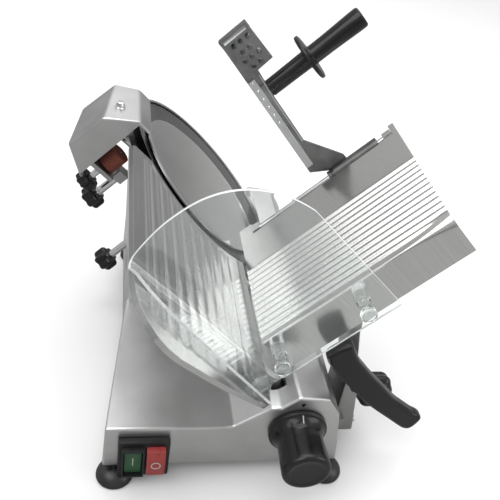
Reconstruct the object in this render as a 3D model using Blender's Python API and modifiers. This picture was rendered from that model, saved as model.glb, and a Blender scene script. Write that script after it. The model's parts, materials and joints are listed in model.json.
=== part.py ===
"""Gravity-feed deli slicer with a 250 mm blade.

Shapes are laid out in "machine" millimetres: X runs right from the base's left side, Y runs back
from the base's front face, and Z runs up from the worktop. The blade frame (a, b, y) has its
origin at the blade's centre: a runs along the blade axis towards the food, b runs up the blade.
Everything is turned into metres, with the origin under the middle of the whole machine.
"""

import math

import bmesh
import bpy
from mathutils import Matrix, Vector

MM = 0.001

# Driving dimensions, in millimetres.
MACHINE_CENTRE = Vector((154.627, 185.719, 0.0))
TILT = math.radians(46.0)
BLADE_RADIUS = 125.0
BLADE_CENTRE = Vector((120.0, 302.0, 194.4))
GAP = 0.3

BASE_WIDTH = 262.0
BASE_DEPTH = 410.0
BASE_BOTTOM = 20.0
DECK_TOP = 81.5
TOWER_FRONT = 199.0
TOWER_LEFT = 22.0
WALL = 5.0
SEAT_A = -20.2

FOOT_RADIUS = 20.0
RAIL_X, RAIL_Z, RAIL_RADIUS = 232.0, 46.0, 8.0
KNOB_X, KNOB_Z = 206.0, 76.0

TRAY_B = -50.8
TRAY_THICKNESS = 3.2
TRAY_LEFT, TRAY_RIGHT = 6.0, 235.0
TRAY_FRONT, TRAY_BACK = 42.6, 239.0
SKIRT_BOTTOM_B = -101.5
GUARD_FRONT, GUARD_BACK = 2.5, 5.5
GUARD_BEND, FLANGE_A, FLANGE_FREE_Y = 8.0, 5.5, -44.0
STANDOFFS = {"low": (19.5, -57.0), "high": (122.3, -57.0)}

ROD_B, ROD_Y, ROD_RADIUS = -54.3, 227.0, 3.0
NOTCH_A, NOTCH_Y = (25.0, 228.0), 219.0
ARM_LEAN = math.radians(9.1)
PLATE_BACK = (3.0, 8.0)
HANDLE_ALONG_ARM, HANDLE_BACK = 128.2, 9.5
GRIP_START = 153.0

POST_A, POST_Y = -29.0, 300.0
GUIDE_PIN_B = -46.0
GUIDE_PINS = {"front": 112.0, "rear": 172.0}
BELT_A = (-62.0, -50.0)
MOTOR_B, MOTOR_Y = -30.0, 357.0

# Directions.
AXIS_X = Vector((1.0, 0.0, 0.0))
AXIS_Y = Vector((0.0, 1.0, 0.0))
AXIS_Z = Vector((0.0, 0.0, 1.0))
ALONG_BLADE_AXIS = Vector((math.cos(TILT), 0.0, math.sin(TILT)))
UP_BLADE = Vector((-math.sin(TILT), 0.0, math.cos(TILT)))
UP_ARM = UP_BLADE * math.cos(ARM_LEAN) + AXIS_Y * math.sin(ARM_LEAN)
ARM_BACK = AXIS_Y * math.cos(ARM_LEAN) - UP_BLADE * math.sin(ARM_LEAN)

# Colours of the materials: base colour, metallic, roughness.
CAST = ((0.62, 0.62, 0.62), 1.0, 0.42)
SHEET = ((0.72, 0.72, 0.73), 1.0, 0.3)
STEEL = ((0.7, 0.7, 0.72), 1.0, 0.18)
BLADE_STEEL = ((0.5, 0.5, 0.52), 1.0, 0.2)
BLACK_PLASTIC = ((0.02, 0.02, 0.02), 0.0, 0.35)
RUBBER = ((0.03, 0.03, 0.03), 0.0, 0.7)
CLEAR = ((0.85, 0.9, 0.9), 0.0, 0.1)
BRONZE = ((0.6, 0.42, 0.2), 1.0, 0.35)
STONE = ((0.28, 0.09, 0.06), 0.0, 0.9)
GREEN = ((0.02, 0.35, 0.12), 0.0, 0.4)
RED = ((0.6, 0.03, 0.03), 0.0, 0.4)
MOTOR_PAINT = ((0.2, 0.22, 0.24), 0.3, 0.5)


def blade_point(a, b, y):
    """The machine point at a along the blade axis, b up the blade, and machine y."""
    return BLADE_CENTRE + ALONG_BLADE_AXIS * a + UP_BLADE * b + AXIS_Y * (y - BLADE_CENTRE.y)


def arm_point(a, along, back):
    """The machine point on the pusher arm, measured from the rod's axis."""
    return blade_point(a, ROD_B, ROD_Y) + UP_ARM * along + ARM_BACK * back


def clear_scene():
    for obj in list(bpy.data.objects):
        bpy.data.objects.remove(obj, do_unlink=True)


def make_collection(name):
    collection = bpy.data.collections.new(name)
    bpy.context.scene.collection.children.link(collection)
    return collection


def make_material(name, look):
    colour, metallic, roughness = look
    material = bpy.data.materials.new(name)
    material.use_nodes = True
    shader = material.node_tree.nodes["Principled BSDF"]
    shader.inputs["Base Color"].default_value = (*colour, 1.0)
    shader.inputs["Metallic"].default_value = metallic
    shader.inputs["Roughness"].default_value = roughness
    return material


clear_scene()
PARTS = make_collection("deli_meat_slicer")
CUTTERS = make_collection("cutters")


def add_object(name, bm, look=None, origin=None):
    """Makes an object from machine millimetres. Without a look it is a cutter."""
    origin = Vector(origin) if origin is not None else MACHINE_CENTRE
    bmesh.ops.remove_doubles(bm, verts=bm.verts, dist=1e-3)
    bmesh.ops.recalc_face_normals(bm, faces=bm.faces)
    for vertex in bm.verts:
        vertex.co = (vertex.co - origin) * MM
    mesh = bpy.data.meshes.new(name)
    bm.to_mesh(mesh)
    bm.free()
    obj = bpy.data.objects.new(name, mesh)
    obj.location = (origin - MACHINE_CENTRE) * MM
    if look is None:
        CUTTERS.objects.link(obj)
        obj.hide_render = True
        obj.display_type = "WIRE"
        return obj
    PARTS.objects.link(obj)
    mesh.materials.append(make_material(name, look))
    mesh.shade_smooth()
    mesh.set_sharp_from_angle(angle=math.radians(32.0))
    return obj


def boolean(obj, other, operation):
    modifier = obj.modifiers.new(f"{operation.lower()} {other.name}", "BOOLEAN")
    modifier.operation = operation
    modifier.solver = "EXACT"
    modifier.object = other


def cut(obj, *cutters):
    for cutter in cutters:
        boolean(obj, cutter, "DIFFERENCE")


def join(obj, *others):
    for other in others:
        boolean(obj, other, "UNION")


def round_edges(obj, width, segments=2, angle=35.0):
    modifier = obj.modifiers.new("rounded edges", "BEVEL")
    modifier.width = width * MM
    modifier.segments = segments
    modifier.limit_method = "ANGLE"
    modifier.angle_limit = math.radians(angle)


def loft(sections):
    """A closed solid through rings with the same number of points."""
    bm = bmesh.new()
    rings = [[bm.verts.new(point) for point in section] for section in sections]
    count = len(rings[0])
    for near, far in zip(rings, rings[1:]):
        for i in range(count):
            j = (i + 1) % count
            bm.faces.new((near[i], near[j], far[j], far[i]))
    bm.faces.new(rings[0])
    bm.faces.new(rings[-1])
    return bm


def prism_xz(outline, y_front, y_back):
    return loft([[Vector((x, y, z)) for x, z in outline] for y in (y_front, y_back)])


def prism_ab(outline, y_front, y_back):
    return loft([[blade_point(a, b, y) for a, b in outline] for y in (y_front, y_back)])


def prism_yb(outline, a_low, a_high):
    """An outline of (machine y, b) pairs, stretched along the blade axis."""
    return loft([[blade_point(a, b, y) for y, b in outline] for a in (a_low, a_high)])


def box(x_range, y_range, z_range):
    outline = [(x_range[i], z_range[j]) for i, j in ((0, 0), (1, 0), (1, 1), (0, 1))]
    return prism_xz(outline, *y_range)


def box_ab(a_range, b_range, y_range):
    outline = [(a_range[i], b_range[j]) for i, j in ((0, 0), (1, 0), (1, 1), (0, 1))]
    return prism_ab(outline, *y_range)


def turned(profile, centre, axis, steps=32):
    """Spins a profile of (radius, distance along the axis) pairs. An open one ends on the axis."""
    side = axis.orthogonal().normalized()
    bm = bmesh.new()
    points = [bm.verts.new(centre + axis * along + side * radius) for radius, along in profile]
    edges = [bm.edges.new(pair) for pair in zip(points, points[1:])]
    if profile[0][0] > 0.0:
        edges.append(bm.edges.new((points[-1], points[0])))
    bmesh.ops.spin(
        bm,
        geom=points + edges,
        cent=centre,
        axis=axis,
        angle=math.tau,
        steps=steps,
        use_merge=True,
    )
    return bm


def rod_profile(radius, low, high, chamfer=0.5):
    return [
        (0.0, low),
        (radius - chamfer, low),
        (radius, low + chamfer),
        (radius, high - chamfer),
        (radius - chamfer, high),
        (0.0, high),
    ]


def tube_profile(outer, inner, low, high):
    return [(inner, low), (outer, low), (outer, high), (inner, high)]


def on_blade_axis(profile, b=0.0, y=BLADE_CENTRE.y, steps=32):
    return turned(profile, blade_point(0.0, b, y), ALONG_BLADE_AXIS, steps)


def along_y(profile, x, z, steps=32):
    return turned(profile, Vector((x, 0.0, z)), AXIS_Y, steps)


def lobed(radius, lobes, depth, centre, axis, low, high, per_lobe=6):
    """A knob with round lobes, from low to high along the axis."""
    side = axis.orthogonal().normalized()
    other = axis.cross(side)

    def ring(along, scale):
        points = []
        for i in range(lobes * per_lobe):
            angle = math.tau * i / (lobes * per_lobe)
            reach = scale * (radius - depth * (1.0 - math.cos(lobes * angle)) / 2.0)
            points.append(
                centre + axis * along + (side * math.cos(angle) + other * math.sin(angle)) * reach
            )
        return points

    edge = 0.18 * (high - low)
    return loft([ring(low, 0.86), ring(low + edge, 1.0), ring(high - edge, 1.0), ring(high, 0.86)])


# ---------------------------------------------------------------- base and what is fixed to it


def base_profile(left_bottom, left_top):
    """The base's front outline: low deck, valley, then the raised housing of the carriage rail."""
    return [
        (left_bottom, BASE_BOTTOM),
        (left_top, DECK_TOP),
        (123.0, 82.0),
        (136.0, 82.0),
        (154.0, 96.0),
        (172.0, 110.0),
        (183.0, 110.0),
        (201.0, 126.0),
        (235.0, 122.0),
        (250.0, 98.0),
        (BASE_WIDTH, BASE_BOTTOM),
    ]


def seat_z(x, a):
    """Height at x of the plane square to the blade axis at a."""
    return BLADE_CENTRE.z + (a - (x - BLADE_CENTRE.x) * ALONG_BLADE_AXIS.x) / ALONG_BLADE_AXIS.z


def make_base():
    sections = []
    for y, left in ((0.0, 0.0), (TOWER_FRONT, 20.0), (BASE_DEPTH, 20.0)):
        sections.append([Vector((x, y, z)) for x, z in base_profile(left, left + 2.5)])
    base = add_object("base_casting", loft(sections), CAST)
    round_edges(base, 3.0, 2, 28.0)

    facet = [blade_point(a, 96.0, 0.0) for a in (-41.5, SEAT_A)]
    tower_outline = [
        (TOWER_LEFT, 60.0),
        (TOWER_LEFT, facet[0].z),
        (facet[1].x, facet[1].z),
        (190.0, seat_z(190.0, SEAT_A)),
        (190.0, 60.0),
    ]
    tower = add_object("tower", prism_xz(tower_outline, TOWER_FRONT, BASE_DEPTH))
    round_edges(tower, 4.0, 2, 28.0)
    join(base, tower)

    hollow = []
    for y, left in ((WALL, 5.5), (TOWER_FRONT, 25.0), (BASE_DEPTH - WALL, 25.0)):
        outline = [
            (left, 10.0),
            (left + 1.0, DECK_TOP - WALL),
            (138.0, 77.0),
            (156.0, 91.0),
            (174.0, 105.0),
            (185.0, 105.0),
            (203.0, 120.5),
            (232.0, 117.0),
            (245.0, 97.0),
            (256.0, 20.0),
            (256.5, 10.0),
        ]
        hollow.append([Vector((x, y, z)) for x, z in outline])
    inside = add_object("inside_of_base", loft(hollow))
    pocket_wall = add_object(
        "blade_pocket_wall", on_blade_axis(rod_profile(139.0, -24.5, 13.0), steps=64)
    )
    cut(inside, pocket_wall)
    tower_hollow = [
        (TOWER_LEFT + WALL, 12.0),
        (TOWER_LEFT + WALL, facet[0].z - 4.0),
        (facet[1].x, facet[1].z - 8.5),
        (183.0, seat_z(183.0, SEAT_A - WALL)),
        (183.0, 12.0),
    ]
    inside_tower = add_object(
        "inside_of_tower", prism_xz(tower_hollow, TOWER_FRONT + WALL, BASE_DEPTH - WALL)
    )
    pocket = add_object("blade_pocket", on_blade_axis(rod_profile(134.0, -20.0, 9.0), steps=64))
    cut(base, inside, inside_tower, pocket)

    for label, low, high in (("front", 3.0, 14.0), ("rear", 352.0, BASE_DEPTH - 3.0)):
        boss = add_object(
            f"rail_boss_{label}", along_y(rod_profile(14.0, low, high), RAIL_X, RAIL_Z, 24)
        )
        join(base, boss)
    rail_bore = along_y(rod_profile(RAIL_RADIUS + GAP, 5.5, BASE_DEPTH - 5.5), RAIL_X, RAIL_Z, 24)
    spindle_bore = on_blade_axis(rod_profile(24.3, -32.0, -12.0), steps=32)
    tie_bore = on_blade_axis(rod_profile(5.8, -152.0, -126.0), steps=20)
    cutters = {
        "rail_bore": rail_bore,
        "carriage_slot": box((246.0, 272.0), (16.0, 334.0), (36.0, 58.0)),
        "knob_bore": along_y(rod_profile(7.0, -6.0, 12.0), KNOB_X, KNOB_Z, 24),
        "switch_hole": box((26.0, 60.0), (-4.0, 9.0), (28.0, 58.0)),
        "spindle_bore": spindle_bore,
        "tie_bore": tie_bore,
        "gauge_leg_hole": box((160.0, 192.0), (26.0, 56.0), (88.0, 124.0)),
        "inlet_bore": along_y(rod_profile(8.0, BASE_DEPTH - 9.0, BASE_DEPTH + 5.0), 60.0, 50.0, 24),
        "post_bore": turned(
            rod_profile(6.3, 60.0, 104.0), blade_point(POST_A, 0.0, POST_Y), UP_BLADE, 24
        ),
    }
    for label, y in GUIDE_PINS.items():
        cutters[f"guide_bore_{label}"] = on_blade_axis(
            rod_profile(6.4, -136.0, -92.0), GUIDE_PIN_B, y, 24
        )
    for name, bm in cutters.items():
        cut(base, add_object(name, bm))


def make_bottom_cover():
    outline = [(7.0, 6.5), (255.0, 6.5), (255.0, 403.5), (28.5, 403.5), (28.5, 206.0)]
    sections = [[Vector((x, y, z)) for x, y in outline] for z in (20.5, 22.0)]
    cover = add_object("bottom_cover", loft(sections), SHEET)
    for row in range(6):
        y = 150.0 + 24.0 * row
        cut(cover, add_object(f"vent_slot_{row}", box((90.0, 150.0), (y, y + 6.0), (18.0, 25.0))))


def make_feet():
    profile = [
        (0.0, 19.7),
        (3.4, 19.7),
        (3.4, 13.4),
        (10.0, 13.4),
        (14.0, 11.0),
        (FOOT_RADIUS, 6.0),
        (FOOT_RADIUS, 1.5),
        (FOOT_RADIUS - 1.0, 0.0),
        (0.0, 0.0),
    ]
    places = {
        "foot_front_left": (14.0, 4.0),
        "foot_front_right": (251.0, 1.5),
        "foot_rear_left": (36.0, 394.0),
        "foot_rear_right": (248.0, 394.0),
    }
    for name, (x, y) in places.items():
        add_object(name, turned(profile, Vector((x, y, 0.0)), AXIS_Z, 28), RUBBER)


def make_knife_mount():
    housing = [
        (35.0, -19.7),
        (121.0, -19.7),
        (121.0, -13.0),
        (116.5, -13.0),
        (114.0, -16.2),
        (35.0, -16.2),
    ]
    add_object("blade_housing", on_blade_axis(housing, steps=72), CAST)

    section = [(121.4, -19.7), (131.0, -19.7), (131.0, 2.4), (130.0, 3.0), (127.2, 3.0)]
    section += [(127.2, -16.2), (121.4, -16.2)]
    rings = []
    first, last, steps = math.radians(-88.0), math.radians(70.0), 44
    for i in range(steps + 1):
        angle = first + (last - first) * i / steps
        rings.append(
            [
                blade_point(a, r * math.sin(angle), BLADE_CENTRE.y + r * math.cos(angle))
                for r, a in section
            ]
        )
    add_object("ring_guard", loft(rings), CAST)

    cover = [
        (0.0, -2.0),
        (60.0, -2.2),
        (98.0, -2.6),
        (101.6, -3.2),
        (102.0, -4.2),
        (101.5, -5.0),
        (0.0, -5.4),
    ]
    add_object("blade_cover", on_blade_axis(cover, steps=72), SHEET)

    spindle = [
        (15.3, -44.0),
        (24.0, -44.0),
        (24.0, -19.7),
        (34.0, -19.7),
        (34.0, -16.2),
        (15.3, -16.2),
    ]
    add_object("spindle_housing", on_blade_axis(spindle, steps=40), CAST)
    for label, low in (("front", -25.0), ("rear", -43.0)):
        add_object(
            f"bearing_{label}", on_blade_axis(tube_profile(15.0, 9.8, low, low + 8.0)), STEEL
        )


def make_motor():
    body = [
        (0.0, -66.2),
        (12.0, -66.2),
        (14.0, -68.0),
        (27.0, -70.0),
        (30.0, -73.0),
        (30.0, -122.0),
        (27.0, -126.0),
        (0.0, -127.0),
    ]
    add_object("motor_body", on_blade_axis(body, MOTOR_B, MOTOR_Y, 36), MOTOR_PAINT)


def make_belt():
    """An open loop round both pulleys: the outer hull of two circles, as a flat band."""
    span = Vector((MOTOR_Y - BLADE_CENTRE.y, MOTOR_B))
    lean = math.atan2(span.y, span.x)
    wrap = math.acos((45.0 - 14.0) / span.length)
    steps = 18
    rings = {}
    for label, growth in (("inner", 0.7), ("outer", 3.2)):
        outline = []
        for centre, radius, start, stop in (
            (Vector((0.0, 0.0)), 45.0 + growth, lean + wrap, lean + math.tau - wrap),
            (span, 14.0 + growth, lean - wrap, lean + wrap),
        ):
            for i in range(steps + 1):
                angle = start + (stop - start) * i / steps
                outline.append(centre + Vector((math.cos(angle), math.sin(angle))) * radius)
        rings[label] = outline
    bm = bmesh.new()
    loops = []
    for label, a in (("inner", -61.0), ("outer", -61.0), ("outer", -51.0), ("inner", -51.0)):
        points = [blade_point(a, p.y, BLADE_CENTRE.y + p.x) for p in rings[label]]
        loops.append([bm.verts.new(point) for point in points])
    count = len(loops[0])
    for near, far in zip(loops, loops[1:] + loops[:1]):
        for i in range(count):
            j = (i + 1) % count
            bm.faces.new((near[i], near[j], far[j], far[i]))
    add_object("drive_belt", bm, RUBBER)


def make_switch():
    plate = add_object("switch_box", box((16.5, 70.5), (-8.0, -GAP), (14.0, 69.0)), BLACK_PLASTIC)
    round_edges(plate, 1.5)
    collar = add_object("green_collar", box((20.5, 44.0), (-14.0, -6.0), (19.0, 62.0)))
    back = add_object("switch_back", box((29.0, 57.0), (-5.0, 26.0), (31.0, 55.0)))
    join(plate, collar, back)
    cut(plate, add_object("green_well", box((22.3, 42.2), (-20.0, -2.0), (21.3, 59.7))))
    cut(plate, add_object("red_well", box((45.7, 66.3), (-20.0, -3.0), (22.7, 62.3))))
    green = add_object("green_button", box((22.8, 41.7), (-10.0, -5.4), (21.8, 59.2)), GREEN)
    round_edges(green, 1.0)
    red_outline = [(-6.6, 23.2), (-6.6, 61.8)]
    for i in range(9):
        share = i / 8
        red_outline.append((-15.0 - 2.5 * math.sin(math.pi * share), 61.8 - 38.6 * share))
    red_bm = loft([[Vector((x, y, z)) for y, z in red_outline] for x in (46.2, 65.8)])
    round_edges(add_object("red_button", red_bm, RED), 0.8)


def make_inlet():
    profile = [
        (0.0, 398.0),
        (7.7, 398.0),
        (7.7, BASE_DEPTH + GAP),
        (11.0, BASE_DEPTH + GAP),
        (11.0, BASE_DEPTH + 5.0),
        (8.5, BASE_DEPTH + 7.0),
        (7.0, BASE_DEPTH + 14.0),
        (0.0, BASE_DEPTH + 14.0),
    ]
    add_object("power_inlet", along_y(profile, 60.0, 50.0, 24), BLACK_PLASTIC)


# ---------------------------------------------------------------- blade


def make_blade():
    blade = [
        (12.0, -8.0),
        (100.0, -8.0),
        (104.0, -6.8),
        (115.0, -3.4),
        (BLADE_RADIUS, 0.0),
        (BLADE_RADIUS, -0.5),
        (121.0, -2.6),
        (110.0, -6.8),
        (102.0, -10.8),
        (12.0, -11.0),
    ]
    add_object("blade", on_blade_axis(blade, steps=96), BLADE_STEEL, BLADE_CENTRE)
    shaft = [
        (5.6, -68.0),
        (9.4, -68.0),
        (9.4, -14.3),
        (30.0, -14.3),
        (30.0, -11.3),
        (11.6, -11.3),
        (11.6, -8.4),
        (5.6, -8.4),
    ]
    add_object("blade_shaft", on_blade_axis(shaft, steps=32), STEEL, BLADE_CENTRE)
    low, high = BELT_A
    pulley = [
        (9.7, low),
        (45.0, low),
        (45.0, high),
        (38.0, high),
        (38.0, high - 4.0),
        (16.0, high - 4.0),
        (16.0, high + 3.0),
        (9.7, high + 3.0),
    ]
    add_object("blade_pulley", on_blade_axis(pulley, steps=48), CAST, BLADE_CENTRE)


def make_motor_drive():
    centre = blade_point(0.0, MOTOR_B, MOTOR_Y)
    low, high = BELT_A
    shaft = on_blade_axis(rod_profile(5.0, -65.8, -47.0), MOTOR_B, MOTOR_Y, 20)
    add_object("motor_shaft", shaft, STEEL, centre)
    pulley = on_blade_axis(tube_profile(14.0, 5.3, low, high), MOTOR_B, MOTOR_Y, 32)
    add_object("motor_pulley", pulley, CAST, centre)


def make_tie_rod():
    add_object(
        "tie_rod", on_blade_axis(rod_profile(5.0, -169.7, -5.9), steps=20), STEEL, BLADE_CENTRE
    )
    knob = lobed(15.5, 6, 3.6, BLADE_CENTRE, ALONG_BLADE_AXIS, -189.0, -170.0)
    add_object("tie_knob", knob, BLACK_PLASTIC, BLADE_CENTRE)


# ---------------------------------------------------------------- thickness gauge


def gauge_outline():
    """Outline of the gauge plate as (machine y, b), round the blade's front edge."""
    reach = BLADE_RADIUS + 2.2
    outline = []
    for i in range(25):
        angle = math.radians(-25.7 + (55.0 + 25.7) * i / 24)
        outline.append((BLADE_CENTRE.y - reach * math.cos(angle), reach * math.sin(angle)))
    outline += [(227.0, 108.0), (227.0, 130.0), (223.0, 134.0), (0.0, 134.0), (-16.0, 132.5)]
    outline += [(-32.0, 127.0), (-46.0, 117.0), (-55.0, 106.0), (-60.0, 93.0), (-61.5, 78.0)]
    outline += [(-56.5, 37.0), (-50.0, 0.0), (-38.0, -48.0), (-33.0, -53.0), (-25.0, -55.0)]
    return outline


def make_gauge():
    plate = add_object("gauge_plate", prism_yb(gauge_outline(), -6.0, 0.0), SHEET)
    round_edges(plate, 0.8, 2, 50.0)

    bracket = add_object("gauge_bracket", box_ab((-14.0, -6.3), (-53.0, 30.0), (30.0, 178.0)), CAST)
    round_edges(bracket, 1.5)
    for label, y in GUIDE_PINS.items():
        sleeve = on_blade_axis(rod_profile(10.0, -60.0, -10.0), GUIDE_PIN_B, y, 24)
        join(bracket, add_object(f"gauge_sleeve_{label}", sleeve))
    leg = [(144.0, 151.5), (149.2, 156.5), (186.0, 121.0), (186.0, 92.0), (175.0, 92.0)]
    leg.append((175.0, 118.0))
    join(bracket, add_object("gauge_leg", prism_xz(leg, 32.0, 50.0)))
    for label, y in GUIDE_PINS.items():
        bore = on_blade_axis(rod_profile(6.4, -80.0, 0.0), GUIDE_PIN_B, y, 24)
        cut(bracket, add_object(f"gauge_bore_{label}", bore))
        pin = on_blade_axis(rod_profile(6.0, -128.0, -19.0), GUIDE_PIN_B, y, 24)
        add_object(f"guide_pin_{label}", pin, STEEL)


def make_thickness_knob():
    knob = [
        (0.0, -1.0),
        (31.0, -1.0),
        (32.0, -2.0),
        (32.0, -4.5),
        (30.5, -6.0),
        (25.5, -14.0),
        (24.6, -17.0),
        (26.0, -50.0),
        (25.6, -54.0),
        (23.0, -56.0),
        (0.0, -56.6),
    ]
    centre = Vector((KNOB_X, 0.0, KNOB_Z))
    add_object("thickness_knob", along_y(knob, KNOB_X, KNOB_Z, 48), BLACK_PLASTIC, centre)
    shaft = [
        (0.0, -GAP - 0.4),
        (6.0, -GAP - 0.4),
        (6.0, 58.0),
        (16.0, 58.0),
        (16.0, 66.0),
        (6.0, 66.0),
        (6.0, 74.0),
        (0.0, 74.0),
    ]
    add_object("knob_shaft", along_y(shaft, KNOB_X, KNOB_Z, 28), STEEL, centre)


# ---------------------------------------------------------------- sharpener


def tapered_cover(outline, y_range):
    """An (a, b) outline whose left side draws in towards the back."""
    back = [(a if a > 0.0 else a + 10.0, b - 7.0 if b > 150.0 else b) for a, b in outline]
    return loft([[blade_point(a, b, y) for a, b in o] for o, y in zip((outline, back), y_range)])


def make_sharpener():
    post = [
        (0.0, 66.0),
        (6.0, 66.0),
        (6.0, 96.4),
        (8.6, 96.4),
        (8.6, 99.5),
        (6.0, 99.5),
        (6.0, 150.0),
        (5.0, 151.0),
        (0.0, 151.0),
    ]
    post_foot = blade_point(POST_A, 0.0, POST_Y)
    add_object("sharpener_post", turned(post, post_foot, UP_BLADE, 24), STEEL)

    outer = [(18.0, 121.0), (18.0, 141.0), (-9.0, 172.0), (-61.0, 175.0), (-84.0, 134.0)]
    cover = add_object("sharpener_cover", tapered_cover(outer, (245.0, 330.0)), CAST)
    round_edges(cover, 3.0, 2, 20.0)
    inner = [(14.5, 90.0), (14.5, 139.5), (-10.5, 168.3), (-59.2, 171.3), (-80.3, 134.0)]
    inner.append((-80.3, 90.0))
    inside = tapered_cover(inner, (248.5, 326.5))
    cut(cover, add_object("inside_of_sharpener", inside))
    below = [(14.2, 90.0), (14.2, 138.4), (-80.0, 138.4), (-80.0, 90.0)]
    cut(cover, add_object("below_sharpener", prism_ab(below, 240.0, 335.0)))

    bracket = add_object(
        "sharpener_bracket", box_ab((-66.0, -60.0), (104.0, 138.0), (252.0, 325.0)), CAST
    )
    round_edges(bracket, 1.0)
    pieces = {
        "bracket_bridge": box_ab((-63.0, -14.0), (132.0, 141.0), (288.0, 312.0)),
        "bracket_top": box_ab((-42.0, -16.0), (139.0, 162.6), (291.0, 309.0)),
        "bracket_hub": turned(rod_profile(10.0, 128.0, 158.0), post_foot, UP_BLADE, 24),
        "bracket_lever": box_ab((-66.0, -60.0), (86.0, 108.0), (277.0, 290.0)),
        "bracket_clamp": box_ab((-69.0, -56.0), (84.5, 98.0), (274.0, 292.0)),
    }
    for name, bm in pieces.items():
        join(bracket, add_object(name, bm))
    holes = {
        "bracket_post_bore": turned(rod_profile(6.35, 120.0, 153.0), post_foot, UP_BLADE, 24),
        "grinding_bore": on_blade_axis(rod_profile(4.4, -75.0, -50.0), 118.0, 270.0, 20),
        "truing_bore": on_blade_axis(rod_profile(3.9, -75.0, -50.0), 122.0, 316.0, 20),
        "lock_bore": on_blade_axis(rod_profile(5.4, -75.0, -61.0), 91.0, 283.0, 20),
    }
    for name, bm in holes.items():
        cut(bracket, add_object(name, bm))

    stones = {
        "grinding": (118.0, 270.0, 13.0, (-58.0, -36.0), 4.0, 13.0, 8, (-99.0, -84.0)),
        "truing": (122.0, 316.0, 9.0, (-58.0, -40.0), 3.5, 9.5, 6, (-87.0, -77.0)),
    }
    for label, (b, y, radius, span, spindle, knob_radius, lobes, knob_span) in stones.items():
        centre = blade_point(0.0, b, y)
        stone = tube_profile(radius, 1.6, *span)
        add_object(f"{label}_stone", on_blade_axis(stone, b, y, 36), STONE, centre)
        pin = add_object(
            f"{label}_button",
            lobed(knob_radius, lobes, 2.4, centre, ALONG_BLADE_AXIS, *knob_span, 5),
            BLACK_PLASTIC,
            centre,
        )
        stem = [
            (0.0, knob_span[1] - 4.0),
            (spindle, knob_span[1] - 4.0),
            (spindle, span[0] - GAP),
            (1.3, span[0] - GAP),
            (1.3, span[1] + 1.0),
            (0.0, span[1] + 1.0),
        ]
        join(pin, add_object(f"{label}_stem", on_blade_axis(stem, b, y, 16)))

    lock_centre = blade_point(0.0, 91.0, 283.0)
    lock = add_object(
        "sharpener_lock_knob",
        lobed(15.0, 6, 3.4, lock_centre, ALONG_BLADE_AXIS, -118.0, -101.0),
        BLACK_PLASTIC,
        lock_centre,
    )
    lock_stem = on_blade_axis(rod_profile(5.0, -105.0, -62.0), 91.0, 283.0, 20)
    join(lock, add_object("lock_stem", lock_stem))


# ---------------------------------------------------------------- carriage


def make_carriage_rail():
    rail = along_y(rod_profile(RAIL_RADIUS, 6.0, BASE_DEPTH - 6.0), RAIL_X, RAIL_Z, 24)
    add_object("carriage_rail", rail, STEEL)
    bush = along_y(tube_profile(12.0, RAIL_RADIUS + 0.25, 24.0, 94.0), RAIL_X, RAIL_Z, 32)
    add_object("slide_bush", bush, BRONZE)


def make_carriage_arm():
    """The hub inside the base, the foot through the slot, and the web up to the tray."""
    foot = add_object("carriage_arm", box((244.8, 272.0), (30.0, 88.0), (40.0, 54.0)), CAST)
    hub = along_y(tube_profile(15.8, 12.25, 24.0, 94.0), RAIL_X, RAIL_Z, 32)
    block = [(264.0, 23.0), (291.0, 23.0), (285.5, 63.0), (282.5, 84.0), (279.0, 112.0)]
    block += [(270.0, 126.0), (263.5, 118.0)]
    top_low = blade_point(116.0, TRAY_B - TRAY_THICKNESS - GAP, 0.0)
    top_high = blade_point(157.0, TRAY_B - TRAY_THICKNESS - GAP, 0.0)
    web = [(265.0, 98.0), (274.0, 98.0), (281.0, 124.0), (274.0, 163.0)]
    web += [(top_high.x, top_high.z), (top_low.x, top_low.z), (258.0, 180.0)]
    block_obj = add_object("arm_block", prism_xz(block, 38.5, 92.0))
    round_edges(block_obj, 3.0)
    web_obj = add_object("arm_web", prism_xz(web, 62.0, 89.5))
    round_edges(web_obj, 2.0)
    join(foot, add_object("arm_hub", hub), block_obj, web_obj)


def tray_outline():
    """Cross-section of the tray as (machine y, b): flat band, ribs, then the front skirt."""
    bottom = TRAY_B - TRAY_THICKNESS
    outline = [(TRAY_BACK, bottom), (TRAY_BACK, TRAY_B)]
    ribs, rib_back, rib_front = 13, 162.0, 50.0
    pitch = (rib_back - rib_front) / ribs
    for i in range(ribs):
        start = rib_back - pitch * i
        outline += [(start, TRAY_B), (start - 0.22 * pitch, TRAY_B + 2.0)]
        outline += [(start - 0.5 * pitch, TRAY_B + 2.4), (start - 0.78 * pitch, TRAY_B + 2.0)]
    outline += [(rib_front, TRAY_B), (TRAY_FRONT + 2.0, TRAY_B), (TRAY_FRONT, TRAY_B - 2.0)]
    outline += [(TRAY_FRONT, SKIRT_BOTTOM_B), (TRAY_FRONT + 3.0, SKIRT_BOTTOM_B)]
    outline.append((TRAY_FRONT + 3.0, bottom))
    return outline


def make_tray():
    tray = add_object("tray", prism_yb(tray_outline(), TRAY_LEFT, TRAY_RIGHT), SHEET)
    cut(tray, add_object("rod_notch", box_ab(NOTCH_A, (-60.0, -40.0), (NOTCH_Y, 245.0))))
    under = TRAY_B - TRAY_THICKNESS - GAP
    lugs = {
        "low": ((14.0, 25.4, 36.0), -49.5, 6.0),
        "high": ((234.0, 227.6, 217.0), -50.2, 4.5),
    }
    for label, ((outside, edge, inside), top, half_width) in lugs.items():
        outline = [(outside, -64.0), (inside, -64.0), (inside, top), (edge, top), (edge, under)]
        outline.append((outside, under))
        block = prism_ab(outline, ROD_Y - half_width, ROD_Y + half_width)
        lug = add_object(f"rod_lug_{label}", block, CAST)
        blind_end = edge + 0.1 * (inside - edge)
        ends = sorted((blind_end, inside + (inside - edge)))
        bore = on_blade_axis(rod_profile(ROD_RADIUS + GAP, *ends), ROD_B, ROD_Y, 24)
        cut(lug, add_object(f"rod_lug_bore_{label}", bore))


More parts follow.
